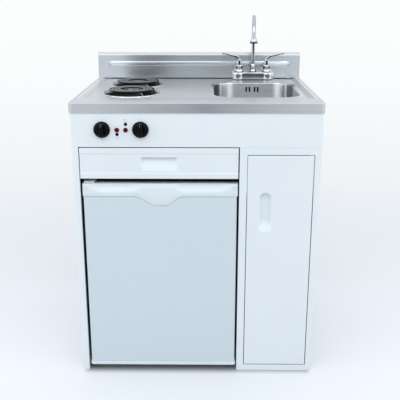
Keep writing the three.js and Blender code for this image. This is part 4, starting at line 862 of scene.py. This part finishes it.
def make_tap_base():
    """The casting: rings of an outline of two round ends joined by a bar, each drawn in by its level's
    inset, with a recess in front and behind, and two threaded shanks below."""
    end, radius, half = TAP["end"], TAP["end_radius"], TAP["half_depth"]
    meet = math.asin(half / radius)
    arc = np.linspace(-math.pi + meet, math.pi - meet, 40)
    along = np.linspace(0, 1, 26)[1:-1]
    reach = end - radius * math.cos(meet)
    round_end = np.stack([np.cos(arc), np.sin(arc)], -1)
    bar = np.stack([reach - 2 * reach * along, np.full_like(along, half)], -1)
    right = [end, 0] + radius * round_end
    outline = np.concatenate([right, bar, -right, -bar])
    straight = np.tile([0.0, 1.0], (len(along), 1))
    outward = np.concatenate([round_end, straight, -round_end, -straight])
    levels = np.array([(2, 0), (2, 1.8), (0.2, 2.1), (0, 2.8), (0, 6.6), (0, 7.4), (0, 19.0), (0, 19.8),
                       (0.1, 23.5), (0.7, 25.6), (2.0, 27.2), (4.4, 28.3)])
    inset, height = levels.T
    rings = outline[None] - outward[None] * inset[:, None, None]
    recess = ((np.abs(outline[:, 0]) < 41) & (np.abs(outline[:, 1]) < half + 0.5))[None] \
        & ((height > 7.0) & (height < 19.5))[:, None]
    rings = rings - outward[None] * (1.4 * recess)[..., None]
    base = np.concatenate([rings, np.broadcast_to(height[:, None, None], (*rings.shape[:2], 1))], -1)
    base += [TAP["x"], TAP["y"], TAP["base"]]
    shank = [(10, 4), (10, -12), (24, -12), (24, -15), (15, -17), (15, -24), (10, -24), (10, -62), (6.5, -62),
             (6.5, -20), (0, -20)]
    profile = [(radius, TAP["base"] + z) for radius, z in shank]
    shanks = [turned(profile, (TAP["x"] + way * TAP["spread"], TAP["y"], 0), 32) for way in (-1, 1)]
    show(unlit(mesh_of("tap_base", [tube_part(base), *shanks]), 0.12, 0.6), "tap_chrome", "faucet_base", 40)


def make_valve(name, x, way):
    """A bonnet turned about Z, with eight flutes that fade in and out along it, and its blade lever: a hub,
    and an ellipse carried out along a curve that widens, flattens and rounds off at its tip."""
    seat = TAP["seat"]
    bonnet = softened([(0, 0), (17, 0, 0.6), (17, 2.5, 1.2), (15, 6.5, 3), (12.8, 12.5, 3), (14.6, 18.5, 1.4),
                       (14.6, 22.0, 1.4), (11, 27, 1.5), (0, 27)], 5)

    def flutes(z):
        return 1.6 * np.clip((z - seat - 2.5) / 4, 0, 1) * np.clip((seat + 15 - z) / 5, 0, 1)

    turning = turned(bonnet + [0, seat], (x, TAP["y"], 0), 80, (8, flutes))
    turning = unlit(mesh_of(f"bonnet_{name}", [turning]), 0.35, 0.95, 0.95)
    show(turning, "tap_chrome", f"valve_bonnet_{name}", 45)

    hub = softened([(0, 0), (9, 0, 0.5), (9.6, 4, 1), (8, 10, 2), (8.2, 15, 2), (5, 19, 2), (0, 20)], 5)
    blade = smooth_path([(0, 951), (2.5, 962), (10, 971), (22, 974.5), (35, 977.5), (48, 981), (58, 982.5),
                         (66, 985)], 40)
    along = np.linspace(0, 1, len(blade))
    tip = np.sqrt(np.clip((1.0 - along) / 0.08, 0.04, 1.0))
    wide, thick = 5.5 + 3.0 * smooth(along, 0.2, 0.9), 5.2 - 1.7 * smooth(along, 0.05, 0.5)
    widths = np.stack([thick * np.sqrt(tip), wide * tip], -1)
    path = np.stack([x + way * blade[:, 0], np.full(len(blade), TAP["y"]), blade[:, 1]], -1)
    parts = [turned(hub + [0, seat + 27.3], (x, TAP["y"], 0), 40),
             swept(path, circle(1.0, 20), -FRONT, widths)]
    show(unlit(mesh_of(f"lever_{name}", parts), 1.0, 1.0), "tap_chrome", f"faucet_lever_{name}", 45)


def make_spout():
    """The nut with its six flats, the gooseneck (a riser, half a circle and a short drop, carried a little
    turned about Z) and its flanged outlet."""
    seat = TAP["seat"]
    nut = softened([(7.3, 0), (14, 0, 0.6), (14, 4, 1), (12, 8, 2), (12, 17, 2), (10.4, 24, 3),
                    (8.4, 29, 0.6), (7.3, 29)], 4, loop=True)

    def flats(z):
        return 0.9 * np.clip((z - seat - 8) / 3, 0, 1) * np.clip((seat + 19 - z) / 4, 0, 1)

    turning = turned(nut + [0, seat], (TAP["x"], TAP["y"], 0), 60, (6, flats), loop=True)
    show(unlit(mesh_of("spout_nut_turned", [turning]), 0.15, 0.9, 0.95), "tap_chrome", "spout_nut", 45)

    turn = math.radians(TAP["turn"])
    radius = TAP["reach"] / 2
    foot = TAP["arch_top"] - radius
    mouth = foot - 5
    arch = np.linspace(0, math.pi, 48)
    out = np.concatenate([[0, 0], -radius + radius * np.cos(arch), [-TAP["reach"]]])
    rise = np.concatenate([[seat + 2, foot - 30], foot + radius * np.sin(arch), [mouth]])
    heading = np.array([-math.sin(turn), math.cos(turn), 0.0])
    origin = np.array([TAP["x"], TAP["y"], 0.0])
    path = origin + out[:, None] * heading + rise[:, None] * UP

    # painted dark reflection: by facing on the riser and the outlet's flange, a flat share elsewhere
    def riser(points):
        return (points[:, 1] > TAP["y"] - 12) & (points[:, 2] < foot + 0.75 * radius)

    def flange(points):
        return points[:, 2] < mouth - 8.5

    across = (math.cos(turn), math.sin(turn), 0)
    neck = mesh_of("gooseneck", [swept(path, circle(TAP["tube"], 40), across)])
    show(unlit(neck, 1.0, 0.5, 0.0, riser, 0.3), "tap_chrome", "spout", 45)
    outlet = softened([(0, -0.4), (7.2, -0.4), (7.2, 4.9), (9.4, 5, 0.8), (9.8, 1, 0.5), (11.4, -5, 3),
                       (14.8, -8.6, 0.5), (14.8, -14, 0.4), (11.4, -14, 0.4), (11, -11.6), (0, -11.6)], 4)
    outlet = mesh_of("outlet", [turned(outlet + [0, mouth], origin - TAP["reach"] * heading, 56)])
    show(unlit(outlet, 1.0, 1.0, 1.0, flange, 0.2), "tap_chrome", "aerator", 45)


def on_panel(part, x, z, proud=0.0):
    """A part built about +Z, laid on the control panel so that its own Z points to the front."""
    points, faces = part
    return np.stack([x + points[..., 0], PANEL_Y - proud - points[..., 2], z + points[..., 1]], -1), faces


def make_controls():
    """Two knobs, two lamps, the printed marks on the panel and the switches behind it."""
    skirt = softened([(0, 0), (24.8, 0, 0.4), (25.2, 1.2, 0.6), (24.6, 3.2, 0.8), (22.5, 6.6, 3),
                      (16, 9.2, 4), (0, 10)], 5)
    ribs = (24, lambda z: 0.7 * np.clip((z - 0.8) / 0.6, 0, 1) * np.clip((6.2 - z) / 2, 0, 1))
    grip = rectangle_ring([7.5, 7.4, 6.9, 6.2, 5.2, 3.8], [21, 20.9, 20.5, 20, 19.2, 17.5],
                          [4.5, 4.4, 4.1, 3.7, 3.1, 2.3], [5, 9, 14, 18, 20.8, 22], 8)
    pointer = rectangle_ring([0.8, 0.8], [2.6, 2.6], [0.4, 0.4], [21.6, 22.15], 3) + [0, 14.6, 0]
    knob_parts = [turned(skirt, steps=144, lobes=ribs), tube_part(grip), turned([(3, -26), (3, 4)], steps=20)]
    for name, x in KNOBS.items():
        knob = mesh_of(f"knob_{name}", [on_panel(part, x, CONTROL_Z, 1) for part in knob_parts])
        show(knob, "black_plastic", f"control_knob_{name}", 40)
        mark = mesh_of(f"knob_mark_{name}", [on_panel(tube_part(pointer), x, CONTROL_Z, 1)])
        show(mark, "mark_grey", f"control_knob_{name}", 40, stands=False)
        dress(f"burner_switch_{name}", bevel=0.5)
    lens = softened([(0, -22), (4.8, -22), (4.8, 0.4), (7.1, 0.4, 0.3), (7.2, 1.6, 1), (6.1, 3.7, 1.5),
                     (0, 4.9)], 6)
    for name, x in LAMPS.items():
        lamp = mesh_of(f"lamp_{name}", [on_panel(turned(lens, steps=40), x, CONTROL_Z - 1)])
        show(lamp, "lamp_red", f"indicator_lamp_{name}", 50)
    make_panel_marks()


def make_panel_marks():
    """Printed marks, each a thin raised plate: for each lamp a filled and an open circle that show its
    burner, and a dial of fine ticks round each knob."""
    ink, from_knob = 0.12, 29.2

    def disc(x, z, outer, inner=0.0):
        profile = [(inner, 0.0), (inner, ink), (outer, ink), (outer, 0.0)]
        return on_panel(turned(profile, steps=32, loop=True), x, z)

    ticks = []
    for x in KNOBS.values():
        for degrees in range(0, 360, 30):
            half = (3.4 if degrees % 90 == 0 else 2.0) / 2
            bar = rectangle_ring([0.35, 0.35], [half, half], [0.2, 0.2], [0, ink], 2)
            bar = bar + [0, from_knob + half, 0]
            cosine, sine = math.cos(math.radians(degrees)), math.sin(math.radians(degrees))
            spun = bar @ [[cosine, -sine, 0], [sine, cosine, 0], [0, 0, 1]]
            ticks.append(on_panel(tube_part(spun), x, CONTROL_Z))
    black = [disc(-237.8, 795.8, 5.1), disc(-211.5, 826.2, 5.1)]
    rings = [disc(-237.3, 786.2, 5.2, 4.2), disc(-211.8, 836.4, 5.2, 4.2)]
    marks = (("burner_marks", black, "ink_black"), ("burner_rings", rings, "ink_grey"),
             ("dial_ticks", ticks, "ink_grey"))
    for name, parts, ink_finish in marks:
        show(mesh_of(name, parts), ink_finish, "control_panel", stands=False)


def make_housing():
    """The folded steel housing with its control panel, cupboard frame, inner sheets and gland."""
    dress_all(0.5, "housing_side_left", "housing_side_right", "control_panel", "storage_front_frame")
    dress_all(0.3, "partition", "storage_floor", "back_panel")
    dress("cord_gland", bevel=0)
    make_screws()


def make_screws():
    """Pan-head screws that hold the back panel to the housing's rear returns: a domed head each."""
    head = softened([(0, 0), (4.2, 0, 0.3), (4.0, 1.1, 1.0), (0, 2.2)], 5)
    spots = [(x, SCREWS["side_y"], z) for z in SCREWS["heights"] for x in SCREWS["side_x"]]
    spots += [(x, SCREWS["row_y"], z) for z in SCREWS["rows"] for x in SCREWS["row_x"]]
    parts = []
    for x, y, z in spots:
        points, faces = turned(head, steps=20)
        parts.append((np.stack([x + points[..., 0], y + points[..., 2], z + points[..., 1]], -1), faces))
    show(mesh_of("rear_screws", parts), "zinc", "back_panel", 40, stands=False)


def make_worktop():
    """The pressed worktop, the backsplash with its bead and a thin dark line along the backsplash's foot."""
    dress("worktop", bevel=0.45)
    dress("backsplash", "splash_steel", bevel=0.45)
    across = np.linspace(-334, 334, 40)
    seam = np.stack([across, 0 * across + SPLASH["face"], 0 * across + DECK + 0.8], -1)
    # a thin dark tube along the backsplash's foot
    seal = mesh_of("seam_dark_line", [swept(seam, circle(1.9, 12), UP)])
    show(seal, "slot_dark", "backsplash", stands=False)


def folded_panel(name, size, relief, steps):
    """A pressed sheet panel with its four edges folded back. Along each direction a run of places crosses
    the back lip, the return, a quarter circle and the face, with how far back each place lies; then y =
    PANEL_Y + relief(x, z) + min(back_x + back_z, depth)."""
    left, right, bottom, top, depth = (size[key] for key in ("left", "right", "bottom", "top", "depth"))

    def run(low, high, count, turned_in):
        arc = np.linspace(math.pi / 2, 0, 6)[1:-1]
        start = [(low + turned_in, depth)] if turned_in else []
        start += [(low, depth), (low, FOLD)]
        start += [(low + FOLD * (1 - math.sin(angle)), FOLD * (1 - math.cos(angle))) for angle in arc]
        start = np.array(start)
        face_run = np.stack([np.linspace(low + FOLD, high - FOLD, count), np.zeros(count)], -1)
        end = start[::-1] * [-1, 1] + [low + high, 0]
        return np.concatenate([start, face_run, end])

    across, up = run(left, right, steps[0], size["lip"]), run(bottom, top, steps[1], 0.0)
    x, z = np.meshgrid(across[:, 0], up[:, 0])
    back = np.minimum(across[None, :, 1] + up[:, None, 1], depth)
    grid = np.stack([x, PANEL_Y + back + relief(x, z), z], -1)
    mesh = mesh_of(name, [(grid, grid_faces(*x.shape, loop_columns=False))])
    turn_toward(mesh, FRONT)
    x, y, z = places_of(mesh).T
    from_edge = np.minimum(np.minimum(x - left, right - x), np.minimum(z - bottom, top - z))
    behind = y - PANEL_Y
    # what is folded back, from a little behind the face, and the back lip; the finish paints these as shade
    folded = smooth(behind, 1.6, FOLD + 0.2) * (from_edge < 1e-3) + (behind > depth - 0.01)
    write_share(mesh, "folded", folded)
    return mesh


def make_drawer():
    """The drawer's folded front with its recessed band and wedge-shaped pull, its box and its runners."""
    bottom, top = DRAWER["bottom"], DRAWER["top"]
    near, far = DRAWER["band"]
    pull_left, pull_right, pull_low, pull_high = DRAWER["pull"]

    def relief(x, z):
        band = smooth(z, bottom + near, bottom + far) * (1 - smooth(z, top - far, top - near))
        sides = smooth(x, pull_left - 2, pull_left + 9) * (1 - smooth(x, pull_right - 9, pull_right + 2))
        slope = np.clip((z - pull_low) / (pull_high - 4 - pull_low), 0, 1) ** 1.15
        wedge = DRAWER["pull_depth"] * slope * (1 - smooth(z, pull_high - 5, pull_high + 1.5))
        return DRAWER["step"] * band + np.where(z < pull_high + 2, wedge * sides, 0)

    front = folded_panel("drawer_panel", DRAWER, relief, (242, 120))
    show(front, "panel_enamel", "drawer_front", 50, thickness=1.0)
    dress_all(0.25, "drawer_box", "drawer_runner_left", "drawer_runner_right")


def make_cupboard_door():
    """The tall folded door with its long scooped pull, and its two pin hinges."""
    half, low, high = (CUPBOARD_DOOR[key] for key in ("pull_half", "pull_low", "pull_high"))

    def relief(x, z):
        beyond = np.maximum(np.abs(z - (low + high) / 2) - ((high - low) / 2 - half), 0)
        inside = half - np.hypot(x - CUPBOARD_DOOR["pull_x"], beyond)
        ramp = smooth(z, low, low + 2.1 * half)
        return CUPBOARD_DOOR["pull_depth"] * smooth(inside, -0.5, 6.5) * ramp

    door = folded_panel("cupboard_panel", CUPBOARD_DOOR, relief, (122, 326))
    show(door, "panel_enamel", "storage_door", 50, thickness=1.0)
    dress_all(0.2, "storage_hinge_top", "storage_hinge_bottom")


def make_top_trim():
    """The refrigerator door's moulded top trim. Its section, carried along X, has a concave finger scoop
    that deepens in two long waves: its edge lies at edge - dip * hump(whole) - wave * (hump(left) +
    hump(right)). Its lower edge swells down into a tongue over the door."""
    left, right, top, line = (TRIM[key] for key in ("left", "right", "top", "line"))
    x = np.concatenate([left + 10 * (1 - np.cos(np.linspace(0, math.pi / 2, 9))),
                        np.linspace(left + 12, right - 12, 200),
                        right - 10 * (1 - np.cos(np.linspace(math.pi / 2, 0, 9)))])

    def hump(start, end, ease):
        return smooth(x, start, start + ease) * (1 - smooth(x, end - ease, end))

    from_end = np.minimum(np.minimum(x - left, right - x), TRIM["corner"])
    face = TRIM["face"] + TRIM["corner"] - np.sqrt(TRIM["corner"] ** 2 - (TRIM["corner"] - from_end) ** 2)
    waves = sum(hump(*ends, TRIM["ease"]) for ends in TRIM["waves"])
    edge = TRIM["edge"] - TRIM["dip"] * hump(left + 5, right - 5, 25) - TRIM["wave"] * waves
    drop = top - edge
    lip = np.minimum(face + drop * 0.6, TRIM["back"] - 3)
    tongue = smooth(x, *TONGUE["left"]) * (1 - smooth(x, *TONGUE["right"]))
    low = line - TRIM["overlap"] - TONGUE["drop"] * tongue
    behind = np.maximum(face, TRIM["face"]) + 1.2
    t = np.linspace(0, 1, 9)[:, None]
    scoop_y = (1 - t) ** 2 * (lip - 0.4) + 2 * t * (1 - t) * (face + 1.4) + t ** 2 * (face + 0.7)
    scoop_z = (1 - t) ** 2 * (top - 0.2) + 2 * t * (1 - t) * (top - drop * 0.75) + t ** 2 * (edge + 0.7)
    rim_y = np.stack([face + 0.2, face, face, face + 0.25, face + 0.8])
    rim_z = np.stack([edge + 0.1, edge - 0.8, low + 0.8, low + 0.25, low])
    back, top_line, foot_line = (np.full_like(x, value) for value in (TRIM["back"], top, line))
    y = np.concatenate([[back, back, lip + 0.3], scoop_y, rim_y, [behind, behind]])
    z = np.concatenate([[foot_line, top_line, top_line], scoop_z, rim_z, [low, foot_line]])
    grid = np.stack([np.broadcast_to(x, y.shape), y, z], -1).transpose(1, 0, 2)
    trim = mesh_of("top_trim", [tube_part(grid)])
    show(trim, "trim_plastic", "fridge_door_top_trim", 55)


def make_refrigerator():
    """The refrigerator: its cabinet and inside, its door with two moulded trims, and the cooling parts
    behind."""
    dress("fridge_cabinet", bevel=1.2)
    dress("fridge_liner", bevel=1.0)
    dress_all(0.4, "fridge_shelf_lower", "fridge_shelf_upper", "freezer_box", "freezer_flap",
              "thermostat_dial")
    dress("fridge_door", bevel=1.2)
    make_top_trim()
    dress("fridge_door_bottom_trim", bevel=0.6)
    dress_all(0.8, "fridge_door_liner", "fridge_door_gasket")
    dress("fridge_hinge_top", bevel=0.5)
    dress("fridge_hinge_bottom", bevel=0.3)
    dress("compressor", bevel=0, sharp=40)
    dress("condenser_coil", bevel=0, sharp=60)


# ---------------------------------------------------------------- stage
CAMERA = {"place": (30.7, -2002.8, 1211.4), "pitch": 17.177, "yaw": 0.583, "lens": 61.46}
FLOOR_RINGS = (0.0, 300.0, 900.0, 1800.0, 3200.0)
LAMPLIGHT = (0.95, 0.975, 1.0)


def make_floor(looks):
    """A pale floor that keeps the unit's shadow, has a painted shadow under the unit and fades into the
    background further out."""
    angle = np.arange(96) * 2 * math.pi / 96
    radii = np.array(FLOOR_RINGS)[:, None]
    grid = np.stack([radii * np.cos(angle), radii * np.sin(angle) + 300, 0 * radii * angle], -1)
    mesh = mesh_of("floor", [(grid, grid_faces(*grid.shape[:2]))])
    turn_toward(mesh, UP)
    floor = bpy.data.objects.new("floor", mesh)
    bpy.context.scene.collection.objects.link(floor)
    material = bpy.data.materials.new("pale_floor")
    material.use_nodes = True
    paint = Paint(material.node_tree)
    shade = colour(*looks.floor)
    pale = paint.patched(paint.noise(0.8, 2.0).ramp(0.3, 0.7), shade, 0.985)
    across, back, _ = paint.places()
    # painted shadow under the unit, from a little before its front to its back
    shadow_under_unit = back.ramp(-26.5, 13.5) * (1 - abs(across).ramp(360.0, 380.0)) * (1 - back.ramp(593.5, 613.5))
    pale = paint.blend(0.7 * shadow_under_unit, pale, colour(0.1, 0.105, 0.11))
    seen = paint.rays("Camera", "Glossy", "Transmission")
    tone = paint.blend(seen, dimmer(shade, looks.bounce), pale)
    shader = paint.node("ShaderNodeBsdfPrincipled", None, {"Base Color": tone, "Roughness": 0.6})
    clear = paint.node("ShaderNodeBsdfTransparent")
    middle = paint.coordinates(shift=(0.0, -0.1, 0.0))
    away = paint.node("ShaderNodeVectorMath", {"operation": "LENGTH"}, {0: middle}, "Value")
    faded = paint.node("ShaderNodeMixShader", None, {0: away.ramp(0.75, 2.2), 1: shader, 2: clear})
    paint.node("ShaderNodeOutputMaterial", None, {"Surface": faded})
    mesh.materials.append(material)


def make_world(looks):
    """The room's light: pale behind the unit and at its sides, dim before it. The camera and clear pieces
    see an even background."""
    world = bpy.data.worlds.new("studio")
    bpy.context.scene.world = world
    world.use_nodes = True
    paint = Paint(world.node_tree)
    across, back, high = paint.split(paint.node("ShaderNodeTexCoord", output="Generated"))
    front = 0 - back
    narrow = 1 - (abs(across) / front.at_least(0.02)).ramp(0.0, looks.dim_width)
    dark = narrow * front.ramp(0.0, 0.3) * (1 - high.ramp(0.45, 0.8))
    level = looks.room - (looks.room - looks.dim) * dark
    level = level + (looks.behind - looks.room) * back.ramp(0.0, 0.5)
    level = level * (1 - (1 - looks.below) * front.ramp(-0.1, 0.3) * (1 - high.ramp(-0.25, 0.05)))
    above = high.ramp(0.6, 0.95)
    lit = level * (1 - above) + looks.above * above
    seen = paint.rays("Camera", "Transmission")
    rise = high.ramp(-0.5, -0.02)
    backdrop = paint.blend(rise, colour(*looks.low_background), colour(*looks.background))
    air = paint.blend(dark, colour(0.93, 0.96, 1.0), colour(0.62, 0.82, 1.0))
    sockets = {"Color": paint.blend(seen, air, backdrop), "Strength": lit * (1 - seen) + seen}
    sky = paint.node("ShaderNodeBackground", None, sockets)
    paint.node("ShaderNodeOutputWorld", None, {"Surface": sky})


def make_lamp(name, spot, target, size, power):
    """A soft rectangular lamp of the given size in metres that looks from a spot at a target."""
    light = bpy.data.lights.new(name, "AREA")
    light.shape = "RECTANGLE"
    light.size, light.size_y = size
    light.energy = power
    light.color = LAMPLIGHT
    lamp = bpy.data.objects.new(name, light)
    start, aim = (Vector(place(point)[0]) for point in (spot, target))
    turn = (aim - start).to_track_quat("-Z", "Y").to_matrix().to_4x4()
    lamp.matrix_world = Matrix.Translation(start) @ turn
    bpy.context.scene.collection.objects.link(lamp)


def make_stage(looks):
    """The pale floor, the soft lamps, the world and the camera at the photograph's angle."""
    make_floor(looks)
    make_world(looks)
    make_lamp("studio_over", (0, 300, 3200), (0, 250, 400), (4.6, 3.6), looks.over)
    make_lamp("studio_left", (-2700, -1300, 1900), (-100, 100, 500), (2.8, 3.0), looks.left)
    make_lamp("studio_right", (2700, -1300, 1900), (100, 100, 500), (2.8, 3.0), looks.right)
    make_lamp("studio_front", (0, -2300, 3500), (0, 100, 500), (4.8, 2.0), looks.front)

    data = bpy.data.cameras.new("camera")
    data.lens = CAMERA["lens"]
    data.sensor_width = 36.0
    camera = bpy.data.objects.new("camera", data)
    camera.location = place(CAMERA["place"])[0]
    camera.rotation_euler = (math.radians(90 - CAMERA["pitch"]), 0.0, math.radians(CAMERA["yaw"]))
    scene = bpy.context.scene
    scene.collection.objects.link(camera)
    scene.camera = camera
    scene.view_settings.view_transform = "Standard"


# ---------------------------------------------------------------- add-on
def tint(name, description, default):
    return bpy.props.FloatVectorProperty(name=name, description=description, subtype="COLOR", default=default,
                                         min=0, max=1)


def amount(name, description, default, most=2.0):
    return bpy.props.FloatProperty(name=name, description=description, default=default, min=0, max=most)


def watts(name, description, default):
    return bpy.props.FloatProperty(name=name, description=description, default=default, min=0, unit="POWER")


class KitchenetteLooks(bpy.types.PropertyGroup):
    """Colours of the unit and levels of the studio that a user would change."""

    enamel: tint("White enamel", "Colour of the housing, drawer and door", (0.80, 0.86, 0.90))
    door: tint("Refrigerator door", "Colour of the pebbled door", (0.67, 0.765, 0.815))
    trim: tint("Door trims", "Colour of the moulded trims", (0.76, 0.83, 0.88))
    steel: tint("Stainless steel", "Colour of the worktop", (0.76, 0.785, 0.80))
    bowl: tint("Bowl", "Colour of the sink's bowl", (0.86, 0.875, 0.885))
    chrome: tint("Chrome", "Colour of the tap and the drip pans", (0.66, 0.69, 0.71))
    lamp: tint("Lamp lenses", "Colour of the indicator lamps", (0.17, 0.0, 0.004))
    floor: tint("Floor", "Colour of the studio floor", (0.80, 0.815, 0.835))
    background: tint("Background", "Colour behind the unit", (0.975, 0.985, 0.99))
    low_background: tint("Low background", "Colour of the floor far before the unit", (0.76, 0.81, 0.86))
    bounce: amount("Floor bounce", "Share of its light that the floor passes on", 0.6, 1.0)
    room: amount("Room", "Room light from all round", 0.98)
    dim: amount("Dim patch", "Room light from straight before the unit", 0.14)
    dim_width: amount("Dim width", "Half width of the dim patch, as a slope", 0.21)
    below: amount("Below", "Share of the room light that comes from below the front", 0.66, 1.0)
    behind: amount("Behind the unit", "Room light from behind", 1.02)
    above: amount("Above the unit", "Room light from straight above", 0.55)
    over: watts("Lamp above", "Power of the lamp above", 28)
    left: watts("Left lamp", "Power of the left lamp", 22)
    right: watts("Right lamp", "Power of the right lamp", 20)
    front: watts("Front lamp", "Power of the front lamp", 34)


class KITCHENETTE_OT_finishes(bpy.types.Operator):
    """Makes every finish of the unit"""

    bl_idname = "kitchenette.finishes"
    bl_label = "Finishes"

    def execute(self, context):
        make_finishes(context.scene.kitchenette_looks)
        return {"FINISHED"}


class KITCHENETTE_OT_stage(bpy.types.Operator):
    """Makes the floor, the lamps, the world and the camera"""

    bl_idname = "kitchenette.stage"
    bl_label = "Stage"

    def execute(self, context):
        make_stage(context.scene.kitchenette_looks)
        return {"FINISHED"}


class KITCHENETTE_OT_housing(bpy.types.Operator):
    """Dresses the sides, the panels, the front frame and the cable gland"""

    bl_idname = "kitchenette.housing"
    bl_label = "Housing"

    def execute(self, context):
        make_housing()
        return {"FINISHED"}


class KITCHENETTE_OT_worktop(bpy.types.Operator):
    """Makes the worktop and the backsplash"""

    bl_idname = "kitchenette.worktop"
    bl_label = "Worktop"

    def execute(self, context):
        make_worktop()
        return {"FINISHED"}


class KITCHENETTE_OT_sink(bpy.types.Operator):
    """Makes the bowl, the drain and its pipe"""

    bl_idname = "kitchenette.sink"
    bl_label = "Sink"

    def execute(self, context):
        make_sink()
        make_drain()
        return {"FINISHED"}


class KITCHENETTE_OT_tap(bpy.types.Operator):
    """Makes the tap with its levers and its gooseneck"""

    bl_idname = "kitchenette.tap"
    bl_label = "Tap"

    def execute(self, context):
        make_tap()
        return {"FINISHED"}


class KITCHENETTE_OT_burners(bpy.types.Operator):
    """Makes the coils, their supports, the drip pans and the terminal blocks"""

    bl_idname = "kitchenette.burners"
    bl_label = "Burners"

    def execute(self, context):
        make_burners()
        return {"FINISHED"}


class KITCHENETTE_OT_controls(bpy.types.Operator):
    """Makes the knobs, the lamps and the printed marks"""

    bl_idname = "kitchenette.controls"
    bl_label = "Controls"

    def execute(self, context):
        make_controls()
        return {"FINISHED"}


class KITCHENETTE_OT_drawer(bpy.types.Operator):
    """Makes the drawer"""

    bl_idname = "kitchenette.drawer"
    bl_label = "Drawer"

    def execute(self, context):
        make_drawer()
        return {"FINISHED"}


class KITCHENETTE_OT_cupboard_door(bpy.types.Operator):
    """Makes the cupboard's door and its hinges"""

    bl_idname = "kitchenette.cupboard_door"
    bl_label = "Cupboard door"

    def execute(self, context):
        make_cupboard_door()
        return {"FINISHED"}


class KITCHENETTE_OT_refrigerator(bpy.types.Operator):
    """Makes the refrigerator and its door"""

    bl_idname = "kitchenette.refrigerator"
    bl_label = "Refrigerator"

    def execute(self, context):
        make_refrigerator()
        return {"FINISHED"}


OPERATORS = [
    KITCHENETTE_OT_finishes,
    KITCHENETTE_OT_stage,
    KITCHENETTE_OT_housing,
    KITCHENETTE_OT_worktop,
    KITCHENETTE_OT_sink,
    KITCHENETTE_OT_tap,
    KITCHENETTE_OT_burners,
    KITCHENETTE_OT_controls,
    KITCHENETTE_OT_drawer,
    KITCHENETTE_OT_cupboard_door,
    KITCHENETTE_OT_refrigerator,
]


class KITCHENETTE_PT_panel(bpy.types.Panel):
    """Lists the unit's colours and the steps that make it."""

    bl_label = "Kitchenette"
    bl_idname = "KITCHENETTE_PT_panel"
    bl_space_type = "VIEW_3D"
    bl_region_type = "UI"
    bl_category = "Kitchenette"

    def draw(self, context):
        looks = context.scene.kitchenette_looks
        for name in KitchenetteLooks.__annotations__:
            self.layout.prop(looks, name)
        for made in OPERATORS:
            self.layout.operator(made.bl_idname)


CLASSES = [KitchenetteLooks, *OPERATORS, KITCHENETTE_PT_panel]


def register():
    for made in CLASSES:
        bpy.utils.register_class(made)
    bpy.types.Scene.kitchenette_looks = bpy.props.PointerProperty(type=KitchenetteLooks)


def unregister():
    del bpy.types.Scene.kitchenette_looks
    for made in reversed(CLASSES):
        bpy.utils.unregister_class(made)


def main():
    register()
    for made in OPERATORS:
        getattr(bpy.ops.kitchenette, made.bl_idname.split(".")[1])()


if __name__ == "__main__":
    main()
